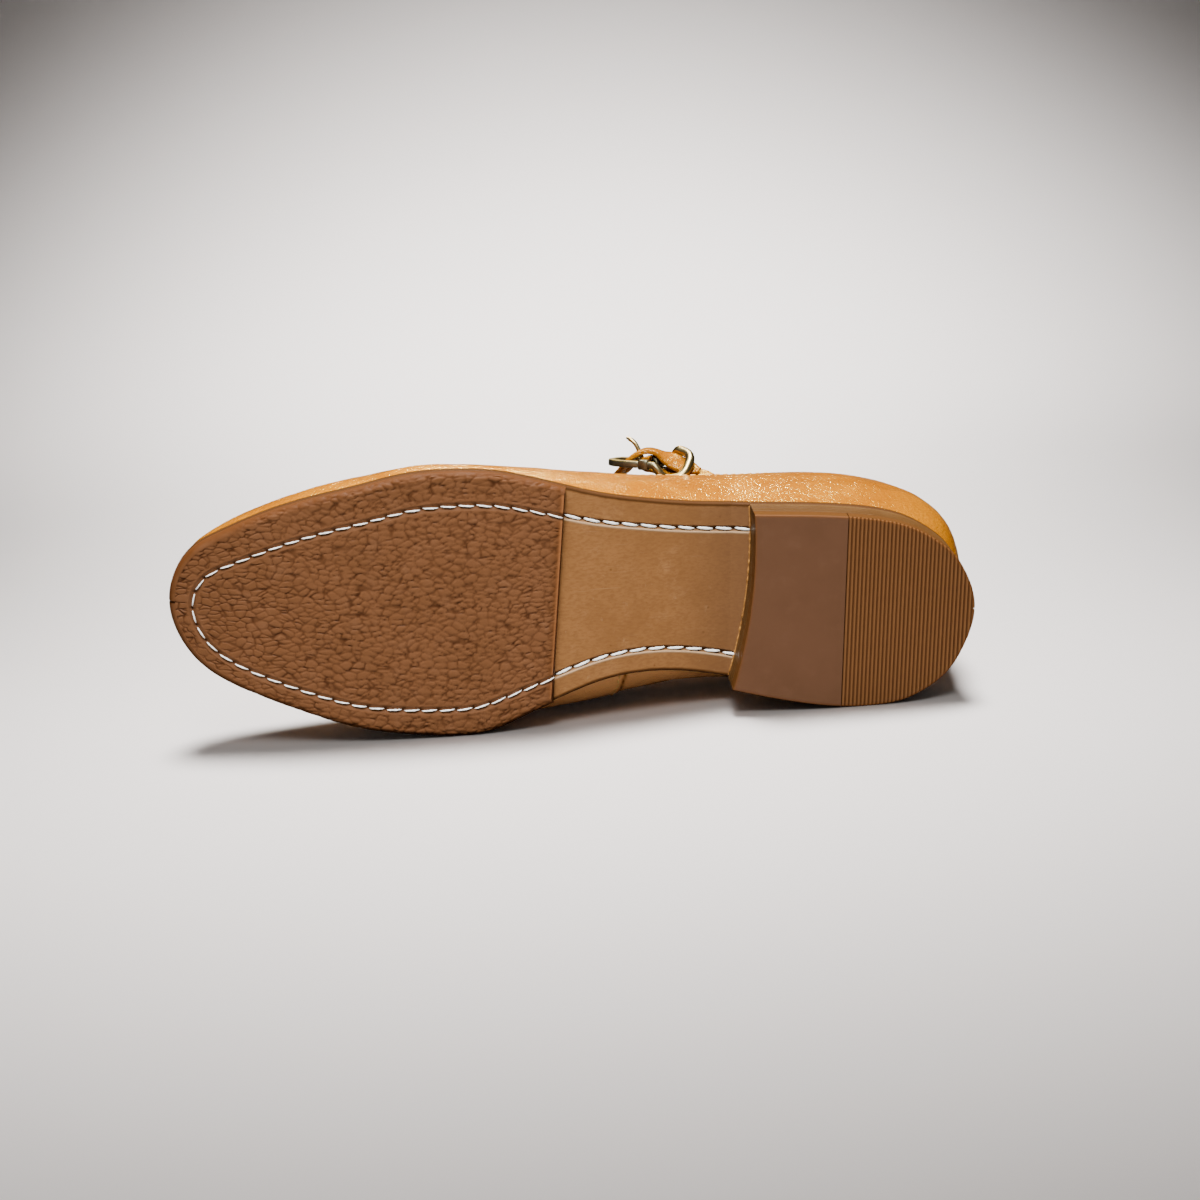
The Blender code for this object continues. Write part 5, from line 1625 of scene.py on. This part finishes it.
slot_box = [buckle_at(*corner) + side * half for side in (-1, 1) for corner in slot_corners]
cut(chape, mesh_object("prong_slot", np.reshape(slot_box, (2, 4, 3))))
chape.data.set_sharp_from_angle(angle=math.radians(50))
dress(chape, ["chape"])

# %% [markdown]
# ## Antique brass
# The buckle is cast brass, darkened to an olive brown and polished back where hands rub it. A metal has no
# colour under its shine, so the dark finish is a darker metal colour, rougher than the bright brass. A mark
# brings out the brass on the rear loop and towards the prong's tip. The front loop is squarer in section
# and dull; the rear loop is rounder and thicker.

# %% Brass material
def make_antique_brass():
    tones = (0.080, 0.074, 0.048), (0.115, 0.104, 0.066), (0.20, 0.17, 0.092)
    made, tree, shader, place, colour = finish("antique_brass", 0.0045, tones, 0.3, Metallic=1.0)
    roughness = remap(tree, read_mark(tree, "bright"), 0.0, 0.75, 0.44, 0.30)
    polished = marked(tree, "bright", colour, (0.36, 0.27, 0.11))
    feed(tree, shader, Base_Color=polished, Roughness=roughness)
    scuffs = noise_value(tree, scale_place(tree, place, 3000.0), 1.0, 3.0)
    add_bump(tree, shader, scuffs, 0.12, 0.00005)
    return made


ANTIQUE_BRASS = make_antique_brass()
print("made", ANTIQUE_BRASS.name)

# %% Build the buckle frame
WIRE_STEPS, WIRE_SIDES, BLOCK_SIDES = 260, 20, 24
REAR_SQUARENESS, FRONT_SQUARENESS, REAR_THICKER = 2.4, 5.6, 0.30


def buckle_wire():
    """Points round both loops, the facing at each, and the place along the buckle."""
    points, outs, alongs = [], [], []
    for turn in np.linspace(0, 2 * math.pi, WIRE_STEPS, endpoint=False):
        c, s = math.cos(turn), math.sin(turn)
        along = (FRONT_LOOP if c > 0 else REAR_LOOP) * math.copysign(abs(c) ** LOOP_SQUARENESS, c)
        pinch = 1 - BUCKLE_WAIST * math.exp(-((along / BAR_BLOCK) ** 2))
        half = BUCKLE_WIDTH / 2 * math.copysign(abs(s) ** LOOP_SQUARENESS, s) * pinch
        points.append(buckle_at(along, 0, half))
        outs.append(buckle_sides(along)[1])
        alongs.append(along)
    return np.array(points), np.array(outs), np.array(alongs)


def chamfered_block(name, side):
    """The square end of the centre bar, with its edges taken off."""
    middle = side * BUCKLE_WIDTH / 2 * (1 - BUCKLE_WAIST)
    profile = [(-0.5, 0.42), (-0.42, 0.5), (0.42, 0.5), (0.5, 0.42)]
    spots = np.array([buckle_at(0, 0, middle + share * BAR_BLOCK) for share, _ in profile])
    radius = BAR_BLOCK * np.array([reach for _, reach in profile])
    facing = np.array([BUCKLE_FACING] * len(profile))
    return mesh_object(name, wire_rings(spots, facing, radius * 1.06, BLOCK_SIDES, squareness=9.0))


path, outs, alongs = buckle_wire()
squareness = REAR_SQUARENESS + (FRONT_SQUARENESS - REAR_SQUARENESS) * soft_step(0.0, 0.004, alongs)
thickness = WIRE_RADIUS * (1 + REAR_THICKER * soft_step(0.003, 0.008, -alongs))
rings = wire_rings(path, outs, thickness, WIRE_SIDES, closed=True, squareness=squareness)
bright = np.repeat((0.75 * soft_step(0.002, 0.008, -alongs))[:, None], WIRE_SIDES, axis=1)
buckle_frame = mesh_object("buckle_loops", rings, ANTIQUE_BRASS, {"bright": bright}, closed=True)
bar_half = BUCKLE_WIDTH / 2 * (1 - BUCKLE_WAIST)
bar_ends = np.array([buckle_at(0, 0, -bar_half), buckle_at(0, 0, bar_half)])
rings = wire_rings(bar_ends, np.array([BUCKLE_FACING] * 2), BAR_RADIUS, WIRE_SIDES)
cut(buckle_frame, mesh_object("centre_bar", rings), "UNION")
for name, side in (("near_block", -1), ("far_block", 1)):
    cut(buckle_frame, chamfered_block(name, side), "UNION")
buckle_frame.data.set_sharp_from_angle(angle=math.radians(40))
dress(buckle_frame, ["buckle_frame"])

# %% Build the prong
PRONG_WRAP = (-320, -35)
PRONG_STEPS, PRONG_SIDES, PRONG_TAPER_START, PRONG_TIP = 130, 16, 0.93, 0.45
wrap = round_bar(BAR_RADIUS + GAP + PRONG_RADIUS, *PRONG_WRAP, 10)
route = np.array(wrap + [buckle_at(*step) for step in PRONG_PASS])
path, across = evenly_along(route, np.array([BUCKLE_ACROSS] * len(route)), PRONG_STEPS)
share = np.linspace(0, 1, PRONG_STEPS)
radius = PRONG_RADIUS * np.interp(share, (0, PRONG_TAPER_START, 1), (1, 1, PRONG_TIP))
rings = wire_rings(path, across, radius, PRONG_SIDES)
bright = np.repeat(soft_step(0.4, 0.7, share)[:, None], PRONG_SIDES, axis=1)
prong = mesh_object("prong", rings, ANTIQUE_BRASS, {"bright": bright})
dress(prong, ["buckle_prong"])

# %% [markdown]
# ## Camera
# The view is described from the shoe: where the camera stands, how far it looks down on the outer side, how
# far it is swung towards the heel, and a small roll. The shoe's matrix then carries it into the world.

# %% Place the camera
CAMERA_PLACE = Vector((0.1712, 0.2329, -0.7707))
CAMERA_DOWN, CAMERA_SWING, CAMERA_ROLL = math.radians(16.465), math.radians(-3.261), math.radians(0.69)
CAMERA_LENS, CAMERA_SENSOR = 72.0, 36.0
forward = Vector((math.sin(CAMERA_SWING), 0, math.cos(CAMERA_SWING))) * math.cos(CAMERA_DOWN)
forward.y = -math.sin(CAMERA_DOWN)
level = forward.cross(Vector((0, 1, 0))).normalized()
right = level * math.cos(CAMERA_ROLL) + level.cross(forward) * math.sin(CAMERA_ROLL)
upward = right.cross(forward)
camera_matrix = Matrix((right, upward, -forward)).transposed().to_4x4()
camera_matrix.translation = CAMERA_PLACE
camera = bpy.data.objects.new("camera", bpy.data.cameras.new("camera"))
bpy.context.scene.collection.objects.link(camera)
camera.data.lens = CAMERA_LENS
camera.data.sensor_width = CAMERA_SENSOR
camera.matrix_world = SHOE @ camera_matrix
bpy.context.scene.camera = camera
print("camera height:", round(camera.matrix_world.translation.z, 3), "m")

# %% [markdown]
# ## Floor and light
# The shoe lies on a pale sweep of paper: a floor that curves up into a backdrop, so no horizon shows. White
# paper would throw so much light up that the pebbles look lit from below, so it is pale only to the camera,
# greyer to bounced light and a dark gold in reflections.
#
# Each lamp lights the pieces that it is linked to. A softbox high in front lights the sole from above and
# leaves the floor alone, a dim copy of it fills in on all. A warm lamp overhead lights the golden leather,
# and a small golden one behind gives upper and buckle their sparkle. A pool of plain light, which fades to
# the corners, falls on all the rest, another spot lights the backdrop, and a dim grey world keeps the
# shadows open.

# %% Build the sweep
PAPER_BOUNCE = (0.36, 0.345, 0.335)
PAPER_MIRRORED = (0.06, 0.042, 0.014)
SWEEP_FRONT, SWEEP_START, SWEEP_RADIUS, SWEEP_TOP, SWEEP_HALF = -2.0, 0.40, 0.70, 1.6, 2.5


def sweep_profile():
    flat = [(SWEEP_FRONT, 0.0), (SWEEP_START, 0.0)]
    turns = np.linspace(0, math.pi / 2, 40)[1:]
    bend = [(SWEEP_START + SWEEP_RADIUS * math.sin(a), SWEEP_RADIUS * (1 - math.cos(a))) for a in turns]
    return flat + bend + [(SWEEP_START + SWEEP_RADIUS, SWEEP_TOP)]


def make_paper():
    tones = (0.85, 0.785, 0.750), (0.865, 0.80, 0.765), (0.875, 0.81, 0.775)
    made, tree, shader, _, colour = finish("pale_paper", 0.5, tones, 0.9)
    ray = tree.nodes.new("ShaderNodeLightPath").outputs
    unseen = mix_colour(tree, ray["Is Glossy Ray"], (*PAPER_BOUNCE, 1), (*PAPER_MIRRORED, 1))
    feed(tree, shader, Base_Color=mix_colour(tree, ray["Is Camera Ray"], unseen, colour))
    return made


profile = sweep_profile()
points = [(x, y, z) for x in (-SWEEP_HALF, SWEEP_HALF) for y, z in profile]
count = len(profile)
faces = [[i, i + 1, count + i + 1, count + i] for i in range(count - 1)]
floor = mesh_object("paper_sweep", points, make_paper(), faces=faces)
print("sweep:", len(faces), "strips")

# %% Lights
WORLD_GREY = (0.62, 0.61, 0.60, 1)
WORLD_STRENGTH = 0.16
GOLDEN, WARM = (1.0, 0.70, 0.22), (1.0, 0.84, 0.24)


def add_lamp(name, kind, place, target, power, **settings):
    data = bpy.data.lights.new(name, kind)
    data.energy = power
    for key, value in settings.items():
        setattr(data, key, value)
    lamp = bpy.data.objects.new(name, data)
    bpy.context.scene.collection.objects.link(lamp)
    lamp.location = place
    lamp.rotation_euler = (Vector(target) - Vector(place)).to_track_quat("-Z", "Y").to_euler()
    return lamp


def beam(degrees, radius):
    """Settings of a spot with a beam that fades all the way to its edge."""
    return {"spot_size": math.radians(degrees), "spot_blend": 1.0, "shadow_soft_size": radius}


def panel(size, spread):
    """Settings of a round softbox with a grid that narrows its spread."""
    return {"shape": "DISK", "size": size, "spread": math.radians(spread)}


lamps = [
    add_lamp("softbox", "AREA", (-0.05, -0.64, 0.98), (0, -0.02, 0.04), 3.3, **panel(0.50, 46)),
    add_lamp("fill", "AREA", (-0.05, -0.64, 0.98), (0, -0.02, 0.04), 0.3, **panel(0.50, 46)),
    add_lamp("sparkle", "SPOT", (0.05, 1.00, 0.82), (0, 0.02, 0.08), 72.0, **beam(36, 0.026), color=GOLDEN),
    add_lamp("warm_top", "SPOT", (0.03, 0.28, 1.25), (0, 0.01, 0), 375.0, **beam(28.5, 0.24), color=WARM),
    add_lamp("pool", "SPOT", (0.03, 0.20, 1.25), (0, 0.01, 0), 475.0, **beam(26.5, 0.32)),
    add_lamp("backdrop", "SPOT", (0.0, 0.0, 1.30), (0.04, 0.60, 0.05), 335.0, **beam(37, 0.20)),
]
leather = [upper, strap, chape]
metal = [buckle_frame, prong]
pieces = [piece for piece in bpy.context.scene.objects if piece.type == "MESH"]
lit_by = {
    "softbox": [piece for piece in pieces if piece is not floor],
    "sparkle": [upper] + metal,
    "warm_top": leather,
    "pool": [piece for piece in pieces if piece not in leather],
}
for lamp in lamps:
    if lamp.name in lit_by:
        receivers = bpy.data.collections.new(lamp.name + "_lights")
        for piece in lit_by[lamp.name]:
            receivers.objects.link(piece)
        lamp.light_linking.receiver_collection = receivers
world = bpy.data.worlds.new("grey_studio")
world.use_nodes = True
world.node_tree.nodes["Background"].inputs["Color"].default_value = WORLD_GREY
world.node_tree.nodes["Background"].inputs["Strength"].default_value = WORLD_STRENGTH
bpy.context.scene.world = world
print("lamps:", ", ".join(lamp.name for lamp in lamps))

# %% [markdown]
# ## Finish
# The view layer is brought up to date.

# %% Finish
bpy.context.view_layer.update()
